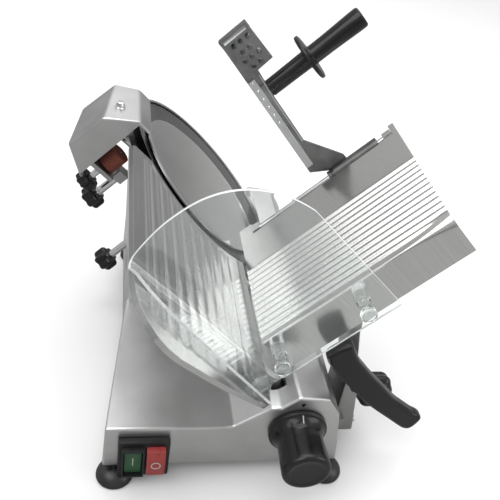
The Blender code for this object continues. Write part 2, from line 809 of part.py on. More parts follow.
def guard_top(a):
    """Height b of the guard's arched edge, over the guard's width."""
    corner_a, corner_b, rise_a, rise_b = 55.0, 48.0, 100.0, 105.5
    if a <= corner_a:
        return corner_b + rise_b - 8.5 * ((corner_a - a) / 50.0) ** 1.6
    share = min(1.0, (a - corner_a) / rise_a)
    return corner_b + rise_b * (1.0 - share**2.6) ** (1.0 / 2.1)


def guard_columns():
    """Where the guard's vertical lines of points stand: (a, y) pairs with the lowest b of each.

    They run from the flange's free edge, round the bend, and along the flat front. A y of None
    means the free edge, which slants.
    """
    flat_y = 0.5 * (GUARD_FRONT + GUARD_BACK)
    columns = [(FLANGE_A, None, -43.0), (FLANGE_A, -30.0, -45.0), (FLANGE_A, -17.0, -49.0)]
    columns.append((FLANGE_A, flat_y - GUARD_BEND, -61.0))
    for i in range(1, 7):
        angle = math.radians(90.0 * i / 6)
        a = FLANGE_A + GUARD_BEND * (1.0 - math.cos(angle))
        y = flat_y - GUARD_BEND * (1.0 - math.sin(angle))
        columns.append((a, y, -61.0 - 1.5 * i))
    for a in (28.0, 40.0, 55.0, 70.0, 84.0, 96.0, 107.0, 117.0, 126.0, 134.0, 141.0, 146.0, 150.0):
        columns.append((a, flat_y, -70.0))
    columns.append((152.6, flat_y, -66.0))
    return columns


def flange_edge_y(b):
    """How far forward the flange's free edge reaches at height b."""
    share = min(1.0, max(0.0, (b + 60.0) / 196.0))
    return -44.0 + 22.0 * share**0.9 + 16.0 * share**6


def make_guard():
    rows = 14
    bm = bmesh.new()
    grid = []
    for a, y, low in guard_columns():
        high = guard_top(a)
        line = []
        for i in range(rows + 1):
            b = low + (high - low) * i / rows
            edge = flange_edge_y(b)
            reach = edge if y is None else max(y, edge + 2.0 * (y - FLANGE_FREE_Y) / 30.0)
            line.append(bm.verts.new(blade_point(a, b, reach)))
        grid.append(line)
    for near, far in zip(grid, grid[1:]):
        for i in range(rows):
            bm.faces.new((near[i], near[i + 1], far[i + 1], far[i]))
    guard = add_object("clear_guard", bm, CLEAR)
    solid = guard.modifiers.new("sheet", "SOLIDIFY")
    solid.thickness = (GUARD_BACK - GUARD_FRONT) * MM
    solid.offset = 0.0
    for label, (a, b) in STANDOFFS.items():
        profile = [
            (0.0, TRAY_FRONT - GAP),
            (7.5, TRAY_FRONT - GAP),
            (7.5, 20.0),
            (5.0, 17.0),
            (5.0, 9.0),
            (8.0, 5.9),
            (3.6, 5.9),
            (3.6, 1.8),
            (8.2, 1.8),
            (8.2, -0.5),
            (7.0, -2.0),
            (0.0, -2.4),
        ]
        centre = blade_point(a, b, 0.0)
        add_object(f"standoff_{label}", along_y(profile, centre.x, centre.z, 22), CLEAR)
        hole = along_y(rod_profile(4.1, -4.0, 12.0), centre.x, centre.z, 20)
        cut(guard, add_object(f"guard_hole_{label}", hole))


def make_carriage_handle():
    lower = [(226.0, 163.0), (232.0, 154.0), (238.0, 146.0), (252.4, 131.0), (267.4, 115.0)]
    lower += [(280.8, 101.3), (294.7, 89.0), (314.4, 73.5), (330.0, 61.0), (338.0, 55.8)]
    end = [(345.3, 55.5), (352.0, 62.0), (357.0, 73.0)]
    upper = [(350.1, 78.6), (342.9, 82.8), (329.1, 93.4), (315.6, 104.5), (297.1, 124.0)]
    upper += [(279.6, 142.0), (269.6, 153.6), (261.7, 163.0), (254.9, 174.0), (249.6, 184.5)]
    top = [(246.0, 191.0), (232.0, 183.0), (222.0, 173.0)]
    handle_bm = prism_xz(lower + end + upper + top, 12.0, 28.0)
    handle = add_object("carriage_handle", handle_bm, BLACK_PLASTIC)
    round_edges(handle, 4.0, 2, 50.0)
    foot = box((266.0, 280.0), (24.0, 38.2), (104.0, 124.0))
    join(handle, add_object("handle_foot", foot))

    centre = Vector((0.0, 56.0, 76.0))
    knob = lobed(20.0, 8, 2.0, centre, AXIS_X, 291.0, 327.0, 5)
    knob_obj = add_object("tray_lock_knob", knob, BLACK_PLASTIC, centre + AXIS_X * 290.0)
    stem = turned(rod_profile(7.0, 286.0, 300.0), centre, AXIS_X, 20)
    join(knob_obj, add_object("lock_knob_stem", stem))


# ---------------------------------------------------------------- pusher


def arm_prism(outline, back_near, back_far):
    """An (a, distance along the arm) outline, stretched through the arm's thickness."""
    backs = (back_near, back_far)
    return loft([[arm_point(a, along, back) for a, along in outline] for back in backs])


def make_pusher():
    rod = on_blade_axis(rod_profile(ROD_RADIUS, 27.0, 226.0), ROD_B, ROD_Y, 24)
    add_object("pusher_rod", rod, STEEL)
    pivot = blade_point(0.0, ROD_B, ROD_Y)
    bush = on_blade_axis(tube_profile(4.7, ROD_RADIUS + 0.25, 150.2, 208.5), ROD_B, ROD_Y, 24)
    add_object("pusher_bush", bush, BRONZE, pivot)

    outline = [(124.7, 18.5), (138.2, 202.8), (174.4, 201.7), (173.9, 155.5), (152.6, 154.5)]
    outline += [(148.0, 118.0), (143.0, 55.0), (169.0, 11.0), (169.0, 3.5), (148.4, 3.5)]
    arm = add_object("pusher_arm", arm_prism(outline, *PLATE_BACK), CAST, pivot)
    rib = [(125.0, 22.0), (129.0, 22.0), (142.0, 199.0), (138.2, 199.0)]
    top = [(138.2, 196.0), (174.4, 196.0), (174.4, 205.0), (138.2, 205.0)]
    boss = turned(
        rod_profile(9.0, 138.5, GRIP_START - GAP),
        arm_point(0.0, HANDLE_ALONG_ARM, HANDLE_BACK),
        ALONG_BLADE_AXIS,
        24,
    )
    sleeve = [(0.0, 140.5), (7.0, 140.5), (7.0, 145.0), (5.8, 145.5), (5.8, 148.5), (7.5, 149.0)]
    sleeve += [(7.5, 209.0), (0.0, 209.0)]
    join(
        arm,
        add_object("arm_rib", arm_prism(rib, 6.5, 16.0)),
        add_object("arm_top", arm_prism(top, -1.5, 12.0)),
        add_object("handle_boss", boss),
        add_object("sleeve", on_blade_axis(sleeve, ROD_B, ROD_Y, 28)),
    )
    for row, along in enumerate((161.0, 171.0, 181.0, 191.0)):
        for column in range(2 + row % 2):
            a = 148.0 + 9.5 * column + (4.5 if row % 2 == 0 else 0.0)
            spike = [(0.0, -1.0), (2.4, -1.0), (2.4, 3.0), (0.4, 8.0), (0.0, 8.0)]
            root = arm_point(a, along, PLATE_BACK[0])
            join(arm, add_object(f"spike_{row}_{column}", turned(spike, root, -ARM_BACK, 8)))
    bores = on_blade_axis(rod_profile(5.0, 149.2, 220.0), ROD_B, ROD_Y, 24)
    cut(arm, add_object("sleeve_bore", bores))
    rod_clearance = on_blade_axis(rod_profile(ROD_RADIUS + GAP, 130.0, 215.0), ROD_B, ROD_Y, 24)
    cut(arm, add_object("collar_bore", rod_clearance))

    handle = [
        (0.0, GRIP_START),
        (10.0, GRIP_START),
        (10.2, 175.0),
        (10.6, 201.0),
        (26.0, 202.0),
        (27.5, 203.5),
        (27.5, 206.5),
        (26.0, 208.0),
        (10.6, 209.0),
        (10.8, 230.0),
        (11.8, 262.0),
        (12.0, 272.0),
        (10.5, 275.0),
        (0.0, 275.5),
    ]
    grip_line = arm_point(0.0, HANDLE_ALONG_ARM, HANDLE_BACK)
    grip = turned(handle, grip_line, ALONG_BLADE_AXIS, 32)
    add_object("pusher_handle", grip, BLACK_PLASTIC, pivot)


def main():
    make_base()
    make_bottom_cover()
    make_feet()
    make_knife_mount()
    make_motor()
    make_belt()
    make_switch()
    make_inlet()
    make_blade()
    make_motor_drive()
    make_tie_rod()
    make_gauge()
    make_thickness_knob()
    make_sharpener()
    make_carriage_rail()
    make_carriage_arm()
    make_tray()
    make_guard()
    make_carriage_handle()
    make_pusher()


main()
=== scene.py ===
"""Looks of the gravity-feed deli slicer: finer meshes for what shows most, and every material.

Shapes are laid out as in the CAD model, in "machine" millimetres: X runs right from the base's
left side, Y back from the base's front face, Z up from the worktop. The blade frame (a, b, y) has
its origin at the blade's centre: a runs along the blade axis towards the food, b up the blade.
"""

import json
import math

import bmesh
import bpy
from mathutils import Euler, Matrix, Vector

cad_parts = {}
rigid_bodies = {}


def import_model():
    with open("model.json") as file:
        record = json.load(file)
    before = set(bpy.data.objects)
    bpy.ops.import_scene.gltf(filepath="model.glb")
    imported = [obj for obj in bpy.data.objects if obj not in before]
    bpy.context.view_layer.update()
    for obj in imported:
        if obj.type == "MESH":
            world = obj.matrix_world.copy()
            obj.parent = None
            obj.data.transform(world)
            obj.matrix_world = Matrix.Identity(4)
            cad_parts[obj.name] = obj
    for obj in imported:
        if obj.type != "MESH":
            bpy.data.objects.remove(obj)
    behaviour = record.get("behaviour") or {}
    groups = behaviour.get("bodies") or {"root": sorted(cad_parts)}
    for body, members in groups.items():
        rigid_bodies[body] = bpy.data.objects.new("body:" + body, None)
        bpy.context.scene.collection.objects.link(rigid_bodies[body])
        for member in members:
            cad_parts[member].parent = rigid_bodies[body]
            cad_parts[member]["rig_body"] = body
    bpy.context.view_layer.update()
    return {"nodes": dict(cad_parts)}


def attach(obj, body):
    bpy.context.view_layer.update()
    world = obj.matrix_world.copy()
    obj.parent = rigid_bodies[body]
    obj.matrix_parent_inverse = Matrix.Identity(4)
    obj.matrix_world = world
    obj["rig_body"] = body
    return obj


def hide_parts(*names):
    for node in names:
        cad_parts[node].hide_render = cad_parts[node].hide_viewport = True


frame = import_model()
NODES = frame["nodes"]

# Driving sizes, as in the CAD model.
MM = 0.001
MACHINE_CENTRE = Vector((154.627, 185.719, 0.0))
TILT = math.radians(46.0)
BLADE_RADIUS = 125.0
BLADE_CENTRE = Vector((120.0, 302.0, 194.4))
TRAY_B, TRAY_THICKNESS = -50.8, 3.2
TRAY_LEFT, TRAY_RIGHT = 6.0, 235.0
TRAY_FRONT, TRAY_BACK = 42.6, 239.0
SKIRT_BOTTOM_B = -101.5
GUARD_FRONT, GUARD_BACK = 2.5, 5.5
GUARD_BEND, FLANGE_A, FLANGE_FREE_Y = 8.0, 5.5, -44.0
STANDOFFS = {"low": (19.5, -57.0), "high": (122.3, -57.0)}
ROD_B, ROD_Y = -54.3, 227.0
NOTCH_A, NOTCH_Y = (25.0, 228.0), 219.0
ARM_LEAN = math.radians(9.1)
HANDLE_ALONG_ARM, HANDLE_BACK = 128.2, 9.5
KNOB_X, KNOB_Z = 206.0, 76.0

# The arm's spiked end: its teeth stand in rows that are 10 mm apart up the arm.
ARM_FACE_BACK = 3.0
PIP_FIRST, PIP_PITCH, PIPS = 92.0, 11.0, 6
TOOTH_FIRST, TOOTH_PITCH, TOOTH_ROWS = 161.0, 10.0, 4

# Grey of the stage where it is only seen in reflections, and where it is seen directly.
FLOOR_REFLECTED, FLOOR_SEEN = (0.40, 0.40, 0.395), (0.9, 0.9, 0.9)

# The world's grey in reflections, from straight down (0) to straight up (1).
WORLD_GREYS = ((0.0, 0.3), (0.48, 0.27), (0.56, 0.46), (0.72, 0.68), (1.0, 0.85))
WORLD_STRENGTH = 0.9

# Area lights: place, what they aim at (both in metres), size, and power in watts.
LIGHTS = {
    "key": ((-1.2, -0.9, 2.2), (0.0, 0.0, 0.15), (2.0, 1.6), 24.0),
    "fill": ((1.9, -0.9, 1.1), (0.0, 0.0, 0.2), (1.2, 1.6), 12.0),
    "top": ((0.1, 0.4, 2.4), (0.0, 0.0, 0.1), (2.0, 1.4), 28.0),
    "back": ((0.3, 2.2, 1.9), (0.0, 0.1, 0.2), (1.8, 0.8), 6.0),
}

# The camera's place in metres, its turns about X, Y and Z in degrees, and its lens in mm.
CAMERA_PLACE, CAMERA_TURNS, CAMERA_LENS = (-0.1478, -0.6469, 0.6683), (53.11, -8.04, -7.78), 50.03

AXIS_X = Vector((1.0, 0.0, 0.0))
AXIS_Y = Vector((0.0, 1.0, 0.0))
AXIS_Z = Vector((0.0, 0.0, 1.0))
ALONG_BLADE_AXIS = Vector((math.cos(TILT), 0.0, math.sin(TILT)))
UP_BLADE = Vector((-math.sin(TILT), 0.0, math.cos(TILT)))
UP_ARM = UP_BLADE * math.cos(ARM_LEAN) + AXIS_Y * math.sin(ARM_LEAN)
ARM_BACK = AXIS_Y * math.cos(ARM_LEAN) - UP_BLADE * math.sin(ARM_LEAN)
BLADE_TURN = (0.0, -(math.pi / 2.0 - TILT), 0.0)


def blade_point(a, b, y):
    return BLADE_CENTRE + ALONG_BLADE_AXIS * a + UP_BLADE * b + AXIS_Y * (y - BLADE_CENTRE.y)


def arm_point(a, along, back):
    """A point on the pusher arm, measured from the rod's axis."""
    return blade_point(a, ROD_B, ROD_Y) + UP_ARM * along + ARM_BACK * back


def to_world(point):
    return (point - MACHINE_CENTRE) * MM


# ---------------------------------------------------------------- materials


class Look:
    """A node material with its Principled shader, and short ways to wire textures into it."""

    def __init__(self, name, colour, metallic, roughness):
        self.material = bpy.data.materials.new(name)
        self.material.use_nodes = True
        self.tree = self.material.node_tree
        self.shader = self.tree.nodes["Principled BSDF"]
        self.shader.inputs["Base Color"].default_value = (*colour, 1.0)
        self.shader.inputs["Metallic"].default_value = metallic
        self.shader.inputs["Roughness"].default_value = roughness
        self.colour = colour
        self.roughness = roughness

    def node(self, kind, **settings):
        node = self.tree.nodes.new(kind)
        for key, value in settings.items():
            setattr(node, key, value)
        return node

    def link(self, source, target):
        self.tree.links.new(source, target)

    def place(self, scale=(1.0, 1.0, 1.0), rotation=(0.0, 0.0, 0.0), location=(0.0, 0.0, 0.0)):
        """Object coordinates, turned and stretched. Objects carry the model's own metres."""
        coordinates = self.node("ShaderNodeTexCoord")
        turned_to = self.node("ShaderNodeMapping")
        turned_to.inputs["Location"].default_value = location
        turned_to.inputs["Rotation"].default_value = rotation
        self.link(coordinates.outputs["Object"], turned_to.inputs["Vector"])
        stretched = self.node("ShaderNodeMapping")
        stretched.inputs["Scale"].default_value = scale
        self.link(turned_to.outputs["Vector"], stretched.inputs["Vector"])
        return stretched.outputs["Vector"]

    def noise(self, vector, scale, detail=3.0, roughness=0.55):
        texture = self.node("ShaderNodeTexNoise")
        texture.inputs["Scale"].default_value = scale
        texture.inputs["Detail"].default_value = detail
        texture.inputs["Roughness"].default_value = roughness
        self.link(vector, texture.inputs["Vector"])
        return texture.outputs["Fac"]

    def spread(self, value, low, high, from_low=0.3, from_high=0.7):
        """Maps a texture's value to a range."""
        mapped = self.node("ShaderNodeMapRange")
        mapped.inputs["From Min"].default_value = from_low
        mapped.inputs["From Max"].default_value = from_high
        mapped.inputs["To Min"].default_value = low
        mapped.inputs["To Max"].default_value = high
        self.link(value, mapped.inputs["Value"])
        return mapped.outputs["Result"]

    def vary_colour(self, value, dark, light):
        """Colours the surface between dark and light shades of its own colour."""
        ramp = self.node("ShaderNodeValToRGB")
        ramp.color_ramp.elements[0].position = 0.3
        ramp.color_ramp.elements[1].position = 0.7
        ramp.color_ramp.elements[0].color = (*[c * dark for c in self.colour], 1.0)
        ramp.color_ramp.elements[1].color = (*[min(1.0, c * light) for c in self.colour], 1.0)
        self.link(value, ramp.inputs["Fac"])
        self.link(ramp.outputs["Color"], self.shader.inputs["Base Color"])

    def vary_roughness(self, value, amount):
        low, high = self.roughness * (1.0 - amount), self.roughness * (1.0 + amount)
        self.link(self.spread(value, low, high), self.shader.inputs["Roughness"])

    def bump(self, value, strength, depth):
        """Bumps add up: each new one is laid over the last."""
        node = self.node("ShaderNodeBump")
        node.inputs["Strength"].default_value = strength
        node.inputs["Distance"].default_value = depth
        self.link(value, node.inputs["Height"])
        normal = self.shader.inputs["Normal"]
        if normal.is_linked:
            self.link(normal.links[0].from_socket, node.inputs["Normal"])
        self.link(node.outputs["Normal"], normal)


def cast_look(name, colour, roughness, grit=1.0, stain=0.1):
    """Cast aluminium, bead blasted: a fine even grit with slow stains."""
    look = Look(name, colour, 1.0, roughness)
    grain = look.noise(look.place(), 1500.0, 2.0)
    cloud = look.noise(look.place(), 14.0, 4.0)
    look.vary_colour(cloud, 1.0 - stain, 1.0 + stain)
    look.vary_roughness(cloud, 0.12)
    look.bump(grain, 0.12 * grit, 0.0002)
    look.bump(cloud, 0.1, 0.0006)
    return look.material


def brushed_look(name, colour, roughness, stretch, rotation=(0.0, 0.0, 0.0), spread=0.3, depth=0.12):
    """Brushed sheet: long scratches along the axis whose stretch is small."""
    look = Look(name, colour, 1.0, roughness)
    lines = look.noise(look.place(stretch, rotation), 1.0, 4.0, 0.7)
    cloud = look.noise(look.place(), 9.0, 3.0)
    look.vary_colour(lines, 0.88, 1.06)
    look.vary_roughness(cloud, spread)
    look.bump(lines, depth, 0.0002)
    return look.material


def turned_look(name, colour, roughness, rings=900.0, anisotropy=0.6):
    """Metal turned on a lathe about the object's own Z axis: fine rings and a fan highlight."""
    look = Look(name, colour, 1.0, roughness)
    split = look.node("ShaderNodeSeparateXYZ")
    look.link(look.place(), split.inputs["Vector"])
    flat = look.node("ShaderNodeCombineXYZ")
    look.link(split.outputs["X"], flat.inputs["X"])
    look.link(split.outputs["Y"], flat.inputs["Y"])
    radius = look.node("ShaderNodeVectorMath", operation="LENGTH")
    look.link(flat.outputs["Vector"], radius.inputs[0])
    along = look.node("ShaderNodeCombineXYZ")
    look.link(radius.outputs["Value"], along.inputs["X"])
    ring = look.noise(along.outputs["Vector"], rings, 3.0, 0.7)
    look.vary_colour(ring, 0.93, 1.04)
    look.vary_roughness(look.noise(look.place(), 12.0, 3.0), 0.25)
    look.bump(ring, 0.06, 0.0001)
    look.shader.inputs["Anisotropic"].default_value = anisotropy
    tangent = look.node("ShaderNodeTangent", direction_type="RADIAL", axis="Z")
    look.link(tangent.outputs["Tangent"], look.shader.inputs["Tangent"])
    return look.material


def polished_look(name, colour, roughness):
    """Bright turned steel with faint wipe marks."""
    look = Look(name, colour, 1.0, roughness)
    smear = look.noise(look.place(), 60.0, 3.0)
    look.vary_roughness(smear, 0.35)
    look.vary_colour(smear, 0.93, 1.03)
    look.bump(look.noise(look.place(), 500.0, 2.0), 0.02, 0.0002)
    return look.material


def plastic_look(name, colour, roughness, orange_peel=0.05):
    """Moulded plastic: faint orange peel, and handling that dulls it in places."""
    look = Look(name, colour, 0.0, roughness)
    peel = look.noise(look.place(), 420.0, 2.0)
    handled = look.noise(look.place(), 38.0, 4.0)
    look.vary_roughness(handled, 0.35)
    look.vary_colour(handled, 0.8, 1.25)
    look.bump(peel, orange_peel, 0.0003)
    look.shader.inputs["Specular IOR Level"].default_value = 0.4
    return look.material


def rubber_look():
    look = Look("black_rubber", (0.018, 0.018, 0.019), 0.0, 0.38)
    dust = look.noise(look.place(), 55.0, 4.0)
    look.vary_colour(dust, 0.75, 1.5)
    look.vary_roughness(dust, 0.25)
    look.bump(look.noise(look.place(), 1400.0, 2.0), 0.08, 0.0002)
    return look.material


def stone_look():
    """Brown aluminium-oxide grinding stone: coarse grit and pits."""
    look = Look("abrasive_stone", (0.19, 0.055, 0.035), 0.0, 0.85)
    grit = look.noise(look.place(), 1100.0, 3.0, 0.8)
    look.vary_colour(grit, 0.45, 1.7)
    look.bump(grit, 0.6, 0.0005)
    return look.material


def clear_look(name, tint):
    """Clear polycarbonate, with faint wiping marks in its gloss."""
    look = Look(name, tint, 0.0, 0.015)
    look.shader.inputs["Transmission Weight"].default_value = 1.0
    look.shader.inputs["IOR"].default_value = 1.2
    look.shader.inputs["Coat Weight"].default_value = 1.0
    look.shader.inputs["Coat Roughness"].default_value = 0.02
    wiped = look.noise(look.place(), 30.0, 4.0)
    look.link(look.spread(wiped, 0.005, 0.03), look.shader.inputs["Roughness"])
    look.bump(look.noise(look.place(), 16.0, 2.0), 0.015, 0.001)
    return look.material


def edge_look():
    """The edge of the clear sheet, coloured near white: a painted highlight for the glint along its
    edges.
    """
    look = Look("clear_plastic_edge", (0.93, 0.95, 0.95), 0.0, 0.3)
    look.shader.inputs["Transmission Weight"].default_value = 0.25
    edge_streaks = look.noise(look.place((40.0, 600.0, 40.0)), 1.0, 3.0)
    look.vary_colour(edge_streaks, 0.92, 1.06)
    look.vary_roughness(edge_streaks, 0.3)
    return look.material


def make_looks():
    return {
        "cast": cast_look("cast_aluminium", (0.68, 0.682, 0.68), 0.36),
        # This lighter cast grey also lies on the pusher arm's raised bar and rim as a painted
        # highlight.
        "cast_light": cast_look("cast_aluminium_blasted_and_painted_highlight", (0.50, 0.50, 0.50), 0.42, 1.3),
        "cast_rough": cast_look("cast_aluminium_rough", (0.40, 0.402, 0.40), 0.36, 2.6),
        "cast_dark": cast_look("cast_aluminium_dark", (0.20, 0.2, 0.198), 0.4, 3.5, 0.55),
        "gauge": brushed_look(
            "anodised_plate", (0.60, 0.60, 0.60), 0.24, (700.0, 8.0, 700.0), spread=0.25
        ),
        "sheet": brushed_look(
            "stainless_sheet", (0.62, 0.622, 0.61), 0.2, (7.0, 620.0, 620.0), BLADE_TURN
        ),
        "cover": brushed_look("bottom_sheet", (0.55, 0.55, 0.55), 0.35, (9.0, 500.0, 500.0)),
        "blade": turned_look("blade_steel", (0.24, 0.24, 0.245), 0.24, 1200.0, 0.6),
        "plate": turned_look("blade_cover_plate", (0.66, 0.66, 0.66), 0.18, 800.0, 0.5),
        "ring": turned_look("ring_guard_metal", (0.66, 0.665, 0.67), 0.26, 500.0, 0.4),
        "steel": polished_look("bright_steel", (0.75, 0.75, 0.765), 0.12),
        "black": plastic_look("black_plastic", (0.009, 0.009, 0.01), 0.22),
        "black_satin": plastic_look("black_switch_plastic", (0.013, 0.013, 0.014), 0.4, 0.15),
        "green": plastic_look("green_plastic", (0.03, 0.10, 0.045), 0.35),
        "red": plastic_look("red_plastic", (0.36, 0.055, 0.05), 0.35),
        "mark": plastic_look("white_mark", (0.55, 0.55, 0.53), 0.5),
        "rubber": rubber_look(),
        "stone": stone_look(),
        "bronze": polished_look("bronze", (0.60, 0.42, 0.20), 0.3),
        "paint": plastic_look("motor_paint", (0.06, 0.065, 0.075), 0.45, 0.2),
        "clear": clear_look("clear_plastic", (0.96, 0.985, 0.98)),
        "clear_spacer": clear_look("clear_spacer_plastic", (0.9, 0.93, 0.92)),
        "clear_edge": edge_look(),
    }


LOOKS = make_looks()


# ---------------------------------------------------------------- building pieces


def smooth_by_angle():
    """A modifier group that shades faces smooth and keeps edges over 35 degrees sharp."""
    tree = bpy.data.node_groups.new("smooth_by_angle", "GeometryNodeTree")
    tree.interface.new_socket("Geometry", in_out="INPUT", socket_type="NodeSocketGeometry")
    tree.interface.new_socket("Geometry", in_out="OUTPUT", socket_type="NodeSocketGeometry")
    start = tree.nodes.new("NodeGroupInput")
    end = tree.nodes.new("NodeGroupOutput")
    faces = tree.nodes.new("GeometryNodeSetShadeSmooth")
    edges = tree.nodes.new("GeometryNodeSetShadeSmooth")
    edges.domain = "EDGE"
    edges.inputs["Shade Smooth"].default_value = False
    angle = tree.nodes.new("GeometryNodeInputMeshEdgeAngle")
    over = tree.nodes.new("FunctionNodeCompare")
    over.operation = "GREATER_THAN"
    over.inputs[1].default_value = math.radians(35.0)
    tree.links.new(angle.outputs["Unsigned Angle"], over.inputs[0])
    tree.links.new(start.outputs[0], faces.inputs["Geometry"])
    tree.links.new(faces.outputs[0], edges.inputs["Geometry"])
    tree.links.new(over.outputs["Result"], edges.inputs["Selection"])
    tree.links.new(edges.outputs[0], end.inputs[0])
    return tree


SMOOTH = smooth_by_angle()


def shade(obj):
    """Smooth shading with large flat faces kept flat."""
    smooth = obj.modifiers.new("smooth", "NODES")
    smooth.node_group = SMOOTH
    weighted = obj.modifiers.new("weighted normals", "WEIGHTED_NORMAL")
    weighted.keep_sharp = True


def dress(look, *nodes):
    """Gives CAD nodes a look, with smooth shading over their facets."""
    for name in nodes:
        node = NODES[name]
        node.data.materials.clear()
        node.data.materials.append(LOOKS[look])
        weld = node.modifiers.new("weld", "WELD")
        weld.merge_threshold = 2e-6
        shade(node)


def piece(name, bm, look, node, stands_for=True, local=None):
    """Makes a piece from machine millimetres that rides with the CAD node, and may replace it.

    local is a matrix in machine millimetres that becomes the piece's own frame.
    """
    bmesh.ops.remove_doubles(bm, verts=bm.verts, dist=1e-3)
    bmesh.ops.recalc_face_normals(bm, faces=bm.faces)
    local = local or Matrix.Translation(MACHINE_CENTRE)
    back = local.inverted()
    for vertex in bm.verts:
        vertex.co = (back @ vertex.co) * MM
    mesh = bpy.data.meshes.new(name)
    bm.to_mesh(mesh)
    bm.free()
    mesh.materials.append(LOOKS[look])
    obj = bpy.data.objects.new(name, mesh)
    bpy.context.scene.collection.objects.link(obj)
    place = local.copy()
    place.translation = to_world(local.translation)
    obj.matrix_world = place
    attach(obj, NODES[node]["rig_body"])
    if stands_for:
        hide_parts(node)
    return obj


def round_edges(obj, width, segments=3, angle=40.0):
    modifier = obj.modifiers.new("rounded edges", "BEVEL")
    modifier.width = width * MM
    modifier.segments = segments
    modifier.limit_method = "ANGLE"
    modifier.angle_limit = math.radians(angle)
    modifier.harden_normals = False


def loft(sections):
    """A closed solid through rings with the same number of points."""
    bm = bmesh.new()
    rings = [[bm.verts.new(point) for point in section] for section in sections]
    count = len(rings[0])
    for near, far in zip(rings, rings[1:]):
        for i in range(count):
            j = (i + 1) % count
            bm.faces.new((near[i], near[j], far[j], far[i]))
    bm.faces.new(rings[0])
    bm.faces.new(rings[-1])
    return bm


def prism_xz(outline, y_front, y_back):
    return loft([[Vector((x, y, z)) for x, z in outline] for y in (y_front, y_back)])


def box(x_range, y_range, z_range):
    outline = [(x_range[i], z_range[j]) for i, j in ((0, 0), (1, 0), (1, 1), (0, 1))]
    return prism_xz(outline, *y_range)


def smooth_line(points, steps):
    """A Catmull-Rom curve through the points, as (x, y) pairs, with its ends kept."""
    ends = [points[0]] + list(points) + [points[-1]]
    line = []
    for p0, p1, p2, p3 in zip(ends, ends[1:], ends[2:], ends[3:]):
        for i in range(steps):
            t = i / steps
            line.append(
                tuple(
                    0.5
                    * (
                        2.0 * p1[k]
                        + (p2[k] - p0[k]) * t
                        + (2.0 * p0[k] - 5.0 * p1[k] + 4.0 * p2[k] - p3[k]) * t**2
                        + (3.0 * p1[k] - p0[k] - 3.0 * p2[k] + p3[k]) * t**3
                    )
                    for k in range(2)
                )
            )
    line.append(tuple(points[-1]))
    return line


def turned(profile, centre, axis, steps=64):
    """Spins a profile of (radius, distance along the axis) pairs. An open one ends on the axis."""
    side = axis.orthogonal().normalized()
    bm = bmesh.new()
    points = [bm.verts.new(centre + axis * along + side * radius) for radius, along in profile]
    edges = [bm.edges.new(pair) for pair in zip(points, points[1:])]
    if profile[0][0] > 0.0:
        edges.append(bm.edges.new((points[-1], points[0])))
    bmesh.ops.spin(
        bm,
        geom=points + edges,
        cent=centre,
        axis=axis,
        angle=math.tau,
        steps=steps,
        use_merge=True,
    )
    return bm


def on_blade_axis(profile, b=0.0, y=BLADE_CENTRE.y, steps=64):
    return turned(profile, blade_point(0.0, b, y), ALONG_BLADE_AXIS, steps)


def add_to(bm, other):
    """Adds another bmesh's faces to the first and frees it."""
    mesh = bpy.data.meshes.new("joined")
    other.to_mesh(mesh)
    other.free()
    bm.from_mesh(mesh)
    bpy.data.meshes.remove(mesh)
    return bm


def axis_frame(centre, axis):
    """A frame in machine millimetres with Z along the axis."""
    turn = axis.to_track_quat("Z", "Y").to_matrix().to_4x4()
    return Matrix.Translation(centre) @ turn


# ---------------------------------------------------------------- blade and its guards


def make_blade():
    face = [(12.0, -8.0), (98.0, -8.2), (101.0, -8.0), (104.0, -7.2), (107.5, -6.3), (112.0, -5.0)]
    face += [(116.0, -3.6), (119.5, -2.3), (122.0, -1.3), (BLADE_RADIUS, 0.0)]
    back = [(BLADE_RADIUS, -0.4), (121.0, -2.6), (110.0, -6.8), (102.0, -10.8), (12.0, -11.0)]
    blade_frame = axis_frame(BLADE_CENTRE, ALONG_BLADE_AXIS)
    disc = on_blade_axis(face + back, steps=192)
    shade(piece("blade_disc", disc, "blade", "blade", local=blade_frame))

    dome = [(0.0, -2.0), (30.0, -2.05), (60.0, -2.2), (90.0, -2.45), (98.5, -2.65), (100.6, -2.95)]
    dome += [(102.0, -3.2), (102.0, -5.0), (0.0, -5.4)]
    plate = on_blade_axis(dome, steps=144)
    shade(piece("blade_centre_plate", plate, "plate", "blade_cover", local=blade_frame))

    section = [(121.4, -19.7), (130.1, -19.7), (130.9, -18.9), (130.9, 1.6), (130.4, 2.5)]
    section += [(129.6, 3.0), (128.2, 3.0), (127.2, 2.3), (127.2, -16.2), (121.4, -16.2)]
    rings = []
    first, last, steps = math.radians(-88.0), math.radians(70.0), 110
    for i in range(steps + 1):
        angle = first + (last - first) * i / steps
        rings.append(
            [
                blade_point(a, r * math.sin(angle), BLADE_CENTRE.y + r * math.cos(angle))
                for r, a in section
            ]
        )
    shade(piece("blade_ring_guard", loft(rings), "ring", "ring_guard", local=blade_frame))


# ---------------------------------------------------------------- thickness gauge plate


FLUTE_PITCH, FLUTE_FIRST_B, FLUTE_DEPTH = 16.0, 21.0, 0.9
GAUGE_BOTTOM_B, GAUGE_TOP_B, GAUGE_THICKNESS = -55.0, 134.0, 6.0
GAUGE_TO_BLADE, GAUGE_CORNER_B, GAUGE_SHOULDER_B, GAUGE_TOP_BACK_Y = 2.2, 104.2, 130.0, 227.0

# The plate's front edge, as (machine y, b).
GAUGE_EDGE = [
    (-25.0, -55.0),
    (-33.0, -53.0),
    (-38.0, -48.0),
    (-50.0, 0.0),
    (-56.5, 37.0),
    (-61.5, 78.0),
    (-60.0, 93.0),
    (-55.0, 106.0),
    (-46.0, 117.0),
    (-32.0, 127.0),
    (-16.0, 132.5),
    (0.0, 134.0),
]


def along_polyline(points, b):
    """Machine y at height b on a line of (y, b) points that rises."""
    for (y0, b0), (y1, b1) in zip(points, points[1:]):
        if b <= b1:
            return y0 + (y1 - y0) * (b - b0) / (b1 - b0)
    return points[-1][0]


